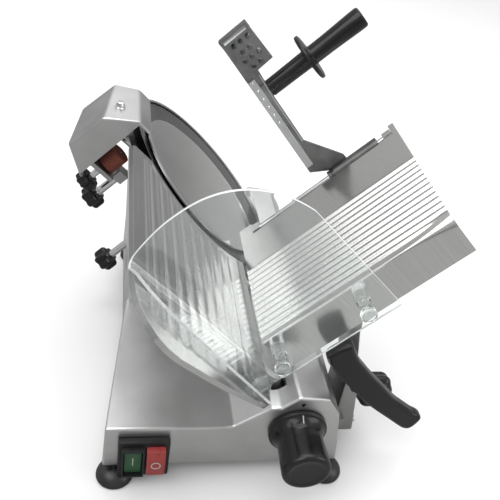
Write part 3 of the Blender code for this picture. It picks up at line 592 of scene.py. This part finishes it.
def gauge_back_edge(b):
    """The edge round the blade, then straight up to a small chamfer at the top."""
    reach = BLADE_RADIUS + GAUGE_TO_BLADE
    if b < GAUGE_CORNER_B:
        return BLADE_CENTRE.y - math.sqrt(reach**2 - b**2)
    return GAUGE_TOP_BACK_Y - max(0.0, b - GAUGE_SHOULDER_B)


def ease(value):
    """0 below 0, 1 above 1, and a smooth step between."""
    value = min(1.0, max(0.0, value))
    return value * value * (3.0 - 2.0 * value)


def flute_depth(y, b, front, back):
    """Round channels between narrow lands, running out towards the plate's edges."""
    wave = 0.5 + 0.5 * math.cos(math.tau * (b - FLUTE_FIRST_B) / FLUTE_PITCH)
    channel = 1.0 - (1.0 - wave) ** 1.7
    ends = ease((y - front - 17.0) / 9.0) * ease((back - y - 5.0) / 7.0)
    rows = ease((b + 30.0) / 6.0) * ease((118.0 - b) / 6.0)
    return FLUTE_DEPTH * channel * ends * rows


def make_gauge():
    rows, columns = 150, 64
    bm = bmesh.new()
    front_grid, back_grid = [], []
    for i in range(rows + 1):
        b = GAUGE_BOTTOM_B + (GAUGE_TOP_B - GAUGE_BOTTOM_B) * i / rows
        front, back = along_polyline(GAUGE_EDGE, b), gauge_back_edge(b)
        front_line, back_line = [], []
        for j in range(columns + 1):
            share = j / columns
            share = share - 0.11 * math.sin(math.tau * share)
            y = front + (back - front) * share
            depth = flute_depth(y, b, front, back)
            front_line.append(bm.verts.new(blade_point(-depth, b, y)))
            back_line.append(bm.verts.new(blade_point(-GAUGE_THICKNESS, b, y)))
        front_grid.append(front_line)
        back_grid.append(back_line)
    for i in range(rows):
        for j in range(columns):
            corners = ((i, j), (i + 1, j), (i + 1, j + 1), (i, j + 1))
            bm.faces.new([front_grid[r][c] for r, c in corners])
            bm.faces.new([back_grid[r][c] for r, c in reversed(corners)])
    rim = [(0, j) for j in range(columns)] + [(i, columns) for i in range(rows)]
    rim += [(rows, j) for j in range(columns, 0, -1)] + [(i, 0) for i in range(rows, 0, -1)]
    for (r, c), (s, d) in zip(rim, rim[1:] + rim[:1]):
        bm.faces.new((front_grid[r][c], front_grid[s][d], back_grid[s][d], back_grid[r][c]))
    plate = piece("fluted_gauge_plate", bm, "gauge", "gauge_plate")
    round_edges(plate, 0.9, 3, 50.0)
    shade(plate)


# ---------------------------------------------------------------- food tray


RIBS, RIB_BACK, RIB_FRONT, RIB_HEIGHT = 13, 162.0, 50.0, 2.4
FOLD_OPENS_A, FOLD_STEPS = 172.0, 12


def fold_radius(a):
    """The bend between tray and skirt opens out towards the right."""
    return 2.2 + 11.0 * max(0.0, (a - FOLD_OPENS_A) / (TRAY_RIGHT - FOLD_OPENS_A)) ** 1.8


def tray_section(a):
    """Cross-section of the sheet as (machine y, b): flat band, ribs, fold, skirt, then back."""
    radius = fold_radius(a)
    under = TRAY_B - TRAY_THICKNESS
    line = [(TRAY_BACK, under), (TRAY_BACK, TRAY_B)]
    pitch = (RIB_BACK - RIB_FRONT) / RIBS
    steps = 10
    fold_y = TRAY_FRONT + radius
    for i in range(RIBS * steps + 1):
        y = max(fold_y + 0.02 * (RIBS * steps - i), RIB_BACK - pitch * i / steps)
        height = RIB_HEIGHT * (0.5 - 0.5 * math.cos(math.tau * i / steps)) ** 0.75
        line.append((y, TRAY_B + height * ease((y - fold_y) / 8.0)))
    for i in range(9):
        turn = math.radians(90.0 * i / 8)
        line.append((fold_y - radius * math.sin(turn), TRAY_B - radius * (1.0 - math.cos(turn))))
    line += [(TRAY_FRONT, SKIRT_BOTTOM_B), (TRAY_FRONT + 3.0, SKIRT_BOTTOM_B)]
    line += [(TRAY_FRONT + 3.0, under - radius), (TRAY_FRONT + 3.0 + radius, under)]
    return line


def make_tray():
    stations = [TRAY_LEFT, 60.0, 120.0, 165.0]
    for i in range(FOLD_STEPS + 1):
        stations.append(FOLD_OPENS_A + (TRAY_RIGHT - FOLD_OPENS_A) * i / FOLD_STEPS)
    sections = [[blade_point(a, b, y) for y, b in tray_section(a)] for a in stations]
    tray = piece("ribbed_tray", loft(sections), "sheet", "tray")
    notch_low, notch_high = NOTCH_A
    outline = [(notch_low, -60.0), (notch_high, -60.0), (notch_high, -40.0), (notch_low, -40.0)]
    carve(tray, loft([[blade_point(a, b, y) for a, b in outline] for y in (NOTCH_Y, 245.0)]))
    round_edges(tray, 0.6, 2, 60.0)
    shade(tray)


def carve(obj, bm):
    """Cuts a shape in machine millimetres out of a piece, once and for all."""
    mesh = bpy.data.meshes.new("cutter")
    bmesh.ops.recalc_face_normals(bm, faces=bm.faces)
    for vertex in bm.verts:
        vertex.co = to_world(vertex.co)
    bm.to_mesh(mesh)
    bm.free()
    cutter = bpy.data.objects.new("cutter", mesh)
    bpy.context.scene.collection.objects.link(cutter)
    modifier = obj.modifiers.new("cut", "BOOLEAN")
    modifier.operation = "DIFFERENCE"
    modifier.solver = "EXACT"
    modifier.object = cutter
    graph = bpy.context.evaluated_depsgraph_get()
    carved = bpy.data.meshes.new_from_object(obj.evaluated_get(graph))
    obj.modifiers.clear()
    obj.data = carved
    bpy.data.objects.remove(cutter)


# ---------------------------------------------------------------- clear guard


def guard_top(a):
    """Height b of the guard's arched edge, over the guard's width."""
    corner_a, corner_b, rise_a, rise_b = 55.0, 48.0, 100.0, 105.5
    if a <= corner_a:
        return corner_b + rise_b - 8.5 * ((corner_a - a) / 50.0) ** 1.6
    share = min(1.0, (a - corner_a) / rise_a)
    return corner_b + rise_b * (1.0 - share**2.6) ** (1.0 / 2.1)


def flange_edge_y(b):
    """How far forward the flange's free edge reaches at height b."""
    share = min(1.0, max(0.0, (b + 60.0) / 196.0))
    return FLANGE_FREE_Y + 22.0 * share**0.9 + 16.0 * share**6


def guard_columns():
    """(a, y, lowest b) of the guard's upright lines, from the flange's free edge to the right."""
    flat_y = 0.5 * (GUARD_FRONT + GUARD_BACK)
    columns = [(FLANGE_A, None, -43.0), (FLANGE_A, -37.0, -44.0), (FLANGE_A, -30.0, -45.0)]
    columns += [(FLANGE_A, -23.0, -47.0), (FLANGE_A, -17.0, -49.0), (FLANGE_A, -10.0, -55.0)]
    columns.append((FLANGE_A, flat_y - GUARD_BEND, -61.0))
    for i in range(1, 13):
        angle = math.radians(90.0 * i / 12)
        a = FLANGE_A + GUARD_BEND * (1.0 - math.cos(angle))
        columns.append((a, flat_y - GUARD_BEND * (1.0 - math.sin(angle)), -61.0 - 0.75 * i))
    for i in range(34):
        a = 18.0 + 134.0 * math.sin(math.radians(90.0 * 0.03 * i))
        columns.append((a, flat_y, -70.0))
    columns += [(152.2, flat_y, -69.0), (152.6, flat_y, -66.0)]
    return columns


def make_guard():
    """The sheet with its bent flange, which reaches forward up to a slanted free edge."""
    rows = 40
    bm = bmesh.new()
    grid = []
    for a, y, low in guard_columns():
        high = guard_top(a)
        line = []
        for i in range(rows + 1):
            b = low + (high - low) * i / rows
            edge = flange_edge_y(b)
            reach = edge if y is None else max(y, edge + 2.0 * (y - FLANGE_FREE_Y) / 30.0)
            line.append(bm.verts.new(blade_point(a, b, reach)))
        grid.append(line)
    for near, far in zip(grid, grid[1:]):
        for i in range(rows):
            bm.faces.new((near[i], near[i + 1], far[i + 1], far[i]))
    guard = piece("clear_guard_sheet", bm, "clear", "clear_guard")
    # The sheet's rim faces take the near-white edge look: painted highlight.
    guard.data.materials.append(LOOKS["clear_edge"])
    sheet = guard.modifiers.new("sheet", "SOLIDIFY")
    sheet.material_offset_rim = 1
    sheet.thickness = (GUARD_BACK - GUARD_FRONT) * MM
    sheet.offset = 0.0
    sheet.use_even_offset = True
    round_edges(guard, 0.7, 2, 60.0)
    shade(guard)
    make_standoffs()


def make_standoffs():
    """The clear spacers between tray and guard, with the screw heads in front."""
    for label, (a, b) in STANDOFFS.items():
        centre = blade_point(a, b, 0.0)
        spacer = [(0.0, TRAY_FRONT - 0.3), (7.1, TRAY_FRONT - 0.3), (7.5, TRAY_FRONT - 0.8)]
        spacer += [(7.5, 20.8), (7.2, 19.6), (5.4, 17.6), (5.0, 16.8), (5.0, 9.4), (5.4, 8.6)]
        spacer += [(7.6, 6.4), (7.9, 5.9), (0.0, 5.9)]
        foot = Vector((centre.x, 0.0, centre.z))
        body = turned(spacer, foot, AXIS_Y, 56)
        shade(piece(f"guard_spacer_{label}", body, "clear_spacer", f"standoff_{label}"))
        head = [(0.0, 2.2), (7.6, 2.2), (8.2, 1.6), (8.2, -0.2), (7.8, -1.1), (6.8, -1.8)]
        head += [(4.6, -2.1), (0.0, -2.2)]
        cap = turned(head, foot, AXIS_Y, 56)
        shade(piece(f"guard_screw_head_{label}", cap, "clear_spacer", f"standoff_{label}", False))


# ---------------------------------------------------------------- knobs, grips and feet


def lobed(radius, lobes, depth, centre, axis, low, high, per_lobe=12):
    """A knob with round lobes and rounded ends, from low to high along the axis."""
    side = axis.orthogonal().normalized()
    other = axis.cross(side)
    edge = 0.24 * (high - low)

    def ring(along, inset):
        points = []
        for i in range(lobes * per_lobe):
            angle = math.tau * i / (lobes * per_lobe)
            dip = depth * (1.0 - math.cos(lobes * angle)) / 2.0
            outward = side * math.cos(angle) + other * math.sin(angle)
            points.append(centre + axis * along + outward * (radius - dip - inset))
        return points

    turns = [math.radians(90.0 * i / 6) for i in range(7)]
    steps = [(edge * (1.0 - math.sin(turn)), edge * (1.0 - math.cos(turn))) for turn in turns]
    near = [ring(low + along, inset) for along, inset in reversed(steps)]
    far = [ring(high - along, inset) for along, inset in steps]
    return loft(near + far)


def make_thickness_knob():
    """The dial: a conical flange with an index line, and a long grip with a dished end."""
    outer = [(31.8, -1.4), (32.0, -2.2), (32.0, -4.4), (31.4, -5.4), (29.6, -6.6)]
    outer += [(27.6, -9.4), (26.2, -12.4), (25.2, -15.4), (24.8, -18.6)]
    outer += [(25.0, -26.0), (25.5, -38.0), (25.9, -48.0), (26.0, -51.4)]
    outer += [(25.6, -53.6), (24.6, -55.2), (23.0, -56.1), (20.0, -56.4), (16.0, -55.6), (0.0, -55.4)]
    profile = [(0.0, -1.0), (31.0, -1.0)] + smooth_line(outer, 3)
    centre = Vector((KNOB_X, 0.0, KNOB_Z))
    dial = piece("thickness_dial", turned(profile, centre, AXIS_Y, 128), "black", "thickness_knob")
    shade(dial)
    corners = ((-0.6, 26.0), (0.6, 26.0), (0.6, 31.2), (-0.6, 31.2))
    sections = []
    for lift in (-0.3, 0.1):
        sections.append(
            [Vector((KNOB_X + x, dial_front(radius) - lift, KNOB_Z + radius)) for x, radius in corners]
        )
    shade(piece("dial_index_line", loft(sections), "mark", "thickness_knob", False))


def dial_front(radius):
    """Machine y of the dial flange's front at a radius."""
    return -12.4 + 1.6 * (radius - 26.2)


def make_pusher_grip():
    """A straight grip with a round finger guard, over the arm's boss."""
    grip = [(9.7, 149.8), (10.0, 150.3), (10.1, 165.0), (10.3, 185.0), (10.6, 200.0), (11.6, 201.4)]
    grip += [(14.0, 202.0), (25.0, 202.4), (26.9, 203.0), (27.4, 204.2), (27.4, 205.8)]
    grip += [(26.9, 207.0), (25.0, 207.6), (14.0, 208.0), (11.6, 208.6), (10.7, 210.0)]
    grip += [(10.8, 230.0), (11.3, 248.0), (11.8, 262.0), (11.9, 271.5), (11.4, 274.0)]
    grip += [(10.0, 275.2), (7.0, 275.4), (0.0, 275.4)]
    profile = [(0.0, 149.8)] + grip
    line = arm_point(0.0, HANDLE_ALONG_ARM, HANDLE_BACK)
    shade(piece("pusher_grip", turned(profile, line, ALONG_BLADE_AXIS, 80), "black", "pusher_handle"))


def make_carriage_grip():
    """The bent handle under the tray, with the pad that joins it to the arm."""
    lower = [(226.0, 163.0), (232.0, 154.0), (238.0, 146.0), (252.4, 131.0), (267.4, 115.0)]
    lower += [(280.8, 101.3), (294.7, 89.0), (314.4, 73.5), (330.0, 61.0), (338.0, 55.8)]
    end = [(345.3, 55.5), (351.4, 62.0), (355.6, 72.6)]
    upper = [(350.1, 78.6), (342.9, 82.8), (329.1, 93.4), (315.6, 104.5), (297.1, 124.0)]
    upper += [(279.6, 142.0), (269.6, 153.6), (261.7, 163.0), (254.9, 174.0), (249.6, 184.5)]
    top = [(246.0, 191.0), (232.0, 183.0), (222.0, 173.0)]
    outline = smooth_line(lower + end + upper, 3) + top
    bm = prism_xz(outline, 12.0, 28.0)
    add_to(bm, box((266.0, 280.0), (24.0, 38.2), (104.0, 124.0)))
    handle = piece("carriage_grip", bm, "black", "carriage_handle")
    round_edges(handle, 5.0, 5, 50.0)
    shade(handle)


def make_knobs():
    """The knobs that hold the blade cover, the tray and the sharpener."""
    tie = lobed(15.5, 6, 3.6, BLADE_CENTRE, ALONG_BLADE_AXIS, -189.0, -170.0)
    shade(piece("tie_knob_head", tie, "black", "tie_knob"))

    tray_lock = Vector((0.0, 56.0, 76.0))
    head = lobed(20.0, 8, 2.0, tray_lock, AXIS_X, 291.0, 327.0)
    shade(piece("tray_lock_head", head, "black", "tray_lock_knob"))
    collar = turned([(0.0, 286.0), (7.0, 286.0), (7.0, 296.0), (0.0, 296.0)], tray_lock, AXIS_X, 40)
    shade(piece("tray_lock_stem", collar, "steel", "tray_lock_knob", False))

    lock = blade_point(0.0, 91.0, 283.0)
    head = lobed(15.0, 6, 3.4, lock, ALONG_BLADE_AXIS, -118.0, -101.0)
    shade(piece("sharpener_lock_head", head, "black", "sharpener_lock_knob"))
    stem = [(0.0, -101.5), (5.8, -101.5), (5.8, -97.0), (5.0, -96.4), (5.0, -62.0), (0.0, -62.0)]
    pin = turned(stem, lock, ALONG_BLADE_AXIS, 40)
    shade(piece("sharpener_lock_stem", pin, "steel", "sharpener_lock_knob", False))


def make_plungers():
    """The buttons that push the sharpener's stones, each with the pin that carries its stone.

    The values are the pin's b and y, the stone's span along the axis, the radii of pin and knob,
    the knob's lobes and its span.
    """
    plungers = {
        "grinding": (118.0, 270.0, (-58.0, -36.0), 4.0, 13.0, 8, (-99.0, -84.0)),
        "truing": (122.0, 316.0, (-58.0, -40.0), 3.5, 9.5, 6, (-87.0, -77.0)),
    }
    for label, (b, y, span, spindle, knob_radius, lobes, knob_span) in plungers.items():
        centre = blade_point(0.0, b, y)
        head = lobed(knob_radius, lobes, 2.4, centre, ALONG_BLADE_AXIS, *knob_span)
        shade(piece(f"{label}_head", head, "black", f"{label}_button"))
        foot = knob_span[1] - 1.0
        stem = [(0.0, foot), (spindle, foot), (spindle, span[0] - 0.3), (1.3, span[0] - 0.3)]
        stem += [(1.3, span[1] + 1.0), (0.0, span[1] + 1.0)]
        pin = on_blade_axis(stem, b, y, 40)
        shade(piece(f"{label}_stem", pin, "steel", f"{label}_button", False))


def make_feet():
    """Round rubber feet, each with a short stud up into the base."""
    profile = [(0.0, 19.7), (3.4, 19.7), (3.4, 14.2), (8.0, 14.0), (11.6, 12.9), (14.8, 10.8)]
    profile += [(17.6, 8.0), (19.4, 5.2), (20.0, 3.0), (20.0, 1.4), (19.6, 0.5), (18.8, 0.0)]
    profile += [(0.0, 0.0)]
    places = {
        "foot_front_left": (14.0, 4.0),
        "foot_front_right": (251.0, 1.5),
        "foot_rear_left": (36.0, 394.0),
        "foot_rear_right": (248.0, 394.0),
    }
    for name, (x, y) in places.items():
        foot = turned(profile, Vector((x, y, 0.0)), AXIS_Z, 72)
        shade(piece(f"rubber_{name}", foot, "rubber", name))


# ---------------------------------------------------------------- switch


def make_switch():
    """A flat start button and a bulged stop button, each with its mark."""
    flat = box((22.8, 41.7), (-10.0, -5.4), (21.8, 59.2))
    green = piece("start_button_cap", flat, "green", "green_button")
    round_edges(green, 1.2, 3)
    shade(green)
    side = [(-6.6, 23.2), (-6.6, 61.8)]
    for i in range(17):
        share = i / 16
        side.append((-15.0 - 2.5 * math.sin(math.pi * share), 61.8 - 38.6 * share))
    rocker = loft([[Vector((x, y, z)) for y, z in side] for x in (46.2, 65.8)])
    red = piece("stop_button_cap", rocker, "red", "red_button")
    round_edges(red, 1.0, 3)
    shade(red)
    bar = box((31.7, 32.8), (-10.12, -9.6), (34.0, 46.5))
    round_edges(piece("start_mark", bar, "mark", "green_button", False), 0.25, 2)
    section = [(4.1, -17.56), (5.2, -17.56), (5.2, -16.6), (4.1, -16.6)]
    ring = turned(section, Vector((56.0, 0.0, 42.5)), AXIS_Y, 48)
    shade(piece("stop_mark", ring, "mark", "red_button", False))


# ---------------------------------------------------------------- small details


def add_bolt(name, point, axis, radius, height, node):
    """A round-headed bolt with a hexagon socket."""
    socket = 0.5 * radius
    profile = [(0.0, 0.0), (radius, 0.0), (radius, 0.6 * height), (0.82 * radius, height)]
    profile += [(socket, height), (socket * 0.98, 0.45 * height), (0.0, 0.4 * height)]
    shade(piece(name, turned(profile, point, axis, 36), "steel", node, False))


def arm_left(along):
    """Position of the arm's left edge along the blade axis, at a distance up the arm."""
    return 124.7 + 13.5 * (along - 18.5) / 184.3


def arm_right(along):
    """Position of its right edge, which widens faster above the bend."""
    if along < 118.0:
        return 143.0 + 5.0 * (along - 55.0) / 63.0
    return 148.0 + 4.6 * (along - 118.0) / 36.5


def arm_strip(name, stations, sides, lift, look):
    """A raised strip on the arm's front, between two edges given as functions."""
    low, high = sides
    sunk = ARM_FACE_BACK + 0.1
    bm = loft(
        [
            [arm_point(low(along), along, back) for back in (sunk, ARM_FACE_BACK - lift)]
            + [arm_point(high(along), along, back) for back in (ARM_FACE_BACK - lift, sunk)]
            for along in stations
        ]
    )
    strip = piece(name, bm, look, "pusher_arm", False)
    round_edges(strip, 0.4, 2, 50.0)
    shade(strip)


def make_arm_details():
    """The casting's raised bar and rim with the channel between, its pips, teeth and top lip. The bar
    and rim are painted lighter than the arm, and the lip bright steel: painted highlights.
    """
    stations = (26.0, 60.0, 90.0, 118.0, 150.0)
    bar_sides = (lambda s: arm_left(s) + 0.5, lambda s: arm_left(s) + 9.6)
    rim_sides = (lambda s: arm_right(s) - 1.9, lambda s: arm_right(s) - 0.5)
    # The bar and rim belong to the arm's own casting but take the lighter cast look: painted highlight
    # on their raised faces.
    arm_strip("arm_bar_highlight", stations, bar_sides, 2.8, "cast_light")
    arm_strip("arm_rim_highlight", (57.0, 90.0, 118.0, 150.0), rim_sides, 2.8, "cast_light")
    pad_sides = (lambda s: arm_left(s) + 9.0, rim_sides[0])
    plate_sides = (lambda s: 141.0, lambda s: 171.0)
    arm_strip("arm_boss_pad", (118.0, 139.0), pad_sides, 2.65, "cast_dark")
    arm_strip("arm_tooth_plate", (156.0, 197.6), plate_sides, 0.4, "cast_dark")
    # A bright steel strip along the casting's top lip: painted highlight on the lip's edge.
    arm_strip("arm_lip_highlight", (198.6, 200.4, 202.4), (lambda s: 142.0, lambda s: 171.5), 5.4, "steel")
    pip = [(0.0, -0.5), (1.5, -0.5), (1.5, 0.3), (1.0, 0.9), (0.0, 1.1)]
    for row in range(PIPS):
        along = PIP_FIRST + PIP_PITCH * row
        bm = turned(pip, arm_point(arm_left(along) + 5.0, along, 0.3), -ARM_BACK, 20)
        shade(piece(f"arm_pip_{row}", bm, "steel", "pusher_arm", False))
    tooth = [(0.0, -0.5), (3.4, -0.5), (3.3, 0.4), (2.9, 1.6), (2.2, 2.9), (1.0, 5.6), (0.0, 6.2)]
    for row in range(TOOTH_ROWS):
        along = TOOTH_FIRST + TOOTH_PITCH * row
        for column in range(2 + row % 2):
            a = 148.0 + 9.5 * column + (4.5 if row % 2 == 0 else 0.0)
            bm = turned(tooth, arm_point(a, along, ARM_FACE_BACK), -ARM_BACK, 28)
            shade(piece(f"arm_tooth_{row}_{column}", bm, "ring", "pusher_arm", False))


def make_sharpener_stud():
    """The bolt on the sharpener's slanted top, with a black ring sunk round it: painted shade in the
    hole around the bolt.
    """
    facet_up = (UP_BLADE * 27.0 + ALONG_BLADE_AXIS * 31.0).normalized()
    stud_point = blade_point(3.2, 157.9, 273.0)
    # Black ring round the bolt: painted shade in its hole.
    dark = [(0.0, -2.0), (8.6, -2.0), (8.6, 0.15), (7.6, 0.3), (0.0, 0.3)]
    hole_shade = turned(dark, stud_point, facet_up, 48)
    shade(piece("sharpener_hole_painted_shade", hole_shade, "black_satin", "sharpener_cover", False))
    stud = [(0.0, 0.2), (6.0, 0.2), (6.0, 1.8), (5.0, 2.6), (4.6, 6.4), (4.0, 7.4), (0.0, 7.8)]
    bolt = turned(stud, stud_point, facet_up, 48)
    shade(piece("sharpener_stud", bolt, "steel", "sharpener_cover", False))


def make_dial_pointer():
    """The small dark triangle over the dial."""
    index = [(KNOB_X - 1.0, 112.6), (KNOB_X + 1.0, 112.6), (KNOB_X + 2.6, 117.6), (KNOB_X - 2.6, 117.6)]
    piece("dial_pointer", prism_xz(index, -0.12, 0.3), "black_satin", "base_casting", False)


def make_bolts():
    for label, x, y in (("front", 258.4, 26.0), ("rear", 258.4, 380.0)):
        add_bolt(f"rail_bolt_{label}", Vector((x, y, 46.0)), AXIS_X, 4.2, 2.4, "base_casting")
    for i, (y, z) in enumerate(((48.0, 34.0), (82.0, 34.0))):
        add_bolt(f"arm_bolt_{i}", Vector((289.2, y, z)), AXIS_X, 4.6, 3.4, "carriage_arm")
    for i, (x, y) in enumerate(((20.0, 15.0), (247.0, 15.0), (40.0, 380.0), (247.0, 380.0))):
        add_bolt(f"cover_bolt_{i}", Vector((x, y, 20.4)), -AXIS_Z, 3.4, 1.8, "bottom_cover")


def dress_frame():
    """Materials for the CAD nodes that show as they are."""
    dress("cast", "base_casting", "gauge_bracket", "blade_housing", "spindle_housing")
    dress("cast", "blade_pulley", "motor_pulley")
    dress("cast_light", "sharpener_cover")
    dress("cast_rough", "carriage_arm", "sharpener_bracket")
    dress("cast_dark", "pusher_arm")
    dress("sheet", "rod_lug_low", "rod_lug_high")
    dress("cover", "bottom_cover")
    dress("steel", "tie_rod", "pusher_rod", "sharpener_post", "guide_pin_front", "guide_pin_rear")
    dress("steel", "carriage_rail", "blade_shaft", "motor_shaft", "knob_shaft")
    dress("steel", "bearing_front", "bearing_rear")
    dress("bronze", "slide_bush", "pusher_bush")
    dress("stone", "grinding_stone", "truing_stone")
    dress("black_satin", "switch_box", "power_inlet")
    dress("rubber", "drive_belt")
    dress("paint", "motor_body")


# ---------------------------------------------------------------- studio


def seen_directly(tree):
    """1 where the stage is seen straight or through clear plastic, 0 in reflections."""
    path = tree.nodes.new("ShaderNodeLightPath")
    either = tree.nodes.new("ShaderNodeMath")
    either.operation = "MAXIMUM"
    tree.links.new(path.outputs["Is Camera Ray"], either.inputs[0])
    tree.links.new(path.outputs["Is Transmission Ray"], either.inputs[1])
    return either.outputs["Value"]


def make_floor():
    bm = bmesh.new()
    bmesh.ops.create_grid(bm, x_segments=2, y_segments=2, size=6.0)
    mesh = bpy.data.meshes.new("floor")
    bm.to_mesh(mesh)
    bm.free()
    floor = bpy.data.objects.new("floor", mesh)
    floor.location.z = -0.0005
    bpy.context.scene.collection.objects.link(floor)
    look = Look("floor", FLOOR_SEEN, 0.0, 0.9)
    look.vary_colour(look.noise(look.place(), 2.0, 2.0), 0.99, 1.0)
    dim = look.node("ShaderNodeBsdfDiffuse")
    dim.inputs["Color"].default_value = (*FLOOR_REFLECTED, 1.0)
    mix = look.node("ShaderNodeMixShader")
    look.link(seen_directly(look.tree), mix.inputs["Fac"])
    look.link(dim.outputs["BSDF"], mix.inputs[1])
    look.link(look.shader.outputs["BSDF"], mix.inputs[2])
    look.link(mix.outputs["Shader"], look.tree.nodes["Material Output"].inputs["Surface"])
    mesh.materials.append(look.material)


def add_area(name, location, target, size, power):
    light = bpy.data.lights.new(name, "AREA")
    light.shape = "RECTANGLE"
    light.size, light.size_y = size
    light.energy = power
    obj = bpy.data.objects.new(name, light)
    obj.location = location
    aim = Vector(target) - Vector(location)
    obj.rotation_euler = aim.to_track_quat("-Z", "Y").to_euler()
    bpy.context.scene.collection.objects.link(obj)


def make_world():
    """A pale studio: bright overhead, greyer towards the horizon, white to the camera."""
    world = bpy.data.worlds.new("studio")
    bpy.context.scene.world = world
    world.use_nodes = True
    tree = world.node_tree
    tree.nodes.clear()
    coordinates = tree.nodes.new("ShaderNodeTexCoord")
    split = tree.nodes.new("ShaderNodeSeparateXYZ")
    ramp = tree.nodes.new("ShaderNodeValToRGB")
    elements = ramp.color_ramp.elements
    elements[0].position, elements[1].position = WORLD_GREYS[0][0], WORLD_GREYS[-1][0]
    for position, _ in WORLD_GREYS[1:-1]:
        elements.new(position)
    for element, (_, grey) in zip(elements, WORLD_GREYS):
        element.color = (grey, grey, grey, 1.0)
    lift = tree.nodes.new("ShaderNodeMapRange")
    lift.inputs["From Min"].default_value = -1.0
    tree.links.new(coordinates.outputs["Generated"], split.inputs["Vector"])
    tree.links.new(split.outputs["Z"], lift.inputs["Value"])
    tree.links.new(lift.outputs["Result"], ramp.inputs["Fac"])
    lit = tree.nodes.new("ShaderNodeBackground")
    tree.links.new(ramp.outputs["Color"], lit.inputs["Color"])
    lit.inputs["Strength"].default_value = WORLD_STRENGTH
    seen = tree.nodes.new("ShaderNodeBackground")
    seen.inputs["Color"].default_value = (1.0, 1.0, 1.0, 1.0)
    mix = tree.nodes.new("ShaderNodeMixShader")
    tree.links.new(seen_directly(tree), mix.inputs["Fac"])
    tree.links.new(lit.outputs[0], mix.inputs[1])
    tree.links.new(seen.outputs[0], mix.inputs[2])
    output = tree.nodes.new("ShaderNodeOutputWorld")
    tree.links.new(mix.outputs[0], output.inputs["Surface"])


def make_studio():
    make_floor()
    make_world()
    for name, (place, target, size, power) in LIGHTS.items():
        add_area(name, place, target, size, power)


def make_camera():
    camera = bpy.data.cameras.new("camera")
    camera.lens = CAMERA_LENS
    camera.sensor_width = 36.0
    obj = bpy.data.objects.new("camera", camera)
    obj.location = CAMERA_PLACE
    obj.rotation_euler = Euler([math.radians(turn) for turn in CAMERA_TURNS], "XYZ")
    bpy.context.scene.collection.objects.link(obj)
    bpy.context.scene.camera = obj
    bpy.context.scene.view_settings.view_transform = "Standard"


make_camera()
make_studio()
dress_frame()
make_blade()
make_gauge()
make_tray()
make_guard()
make_thickness_knob()
make_pusher_grip()
make_carriage_grip()
make_knobs()
make_plungers()
make_feet()
make_switch()
make_sharpener_stud()
make_arm_details()
make_dial_pointer()
make_bolts()
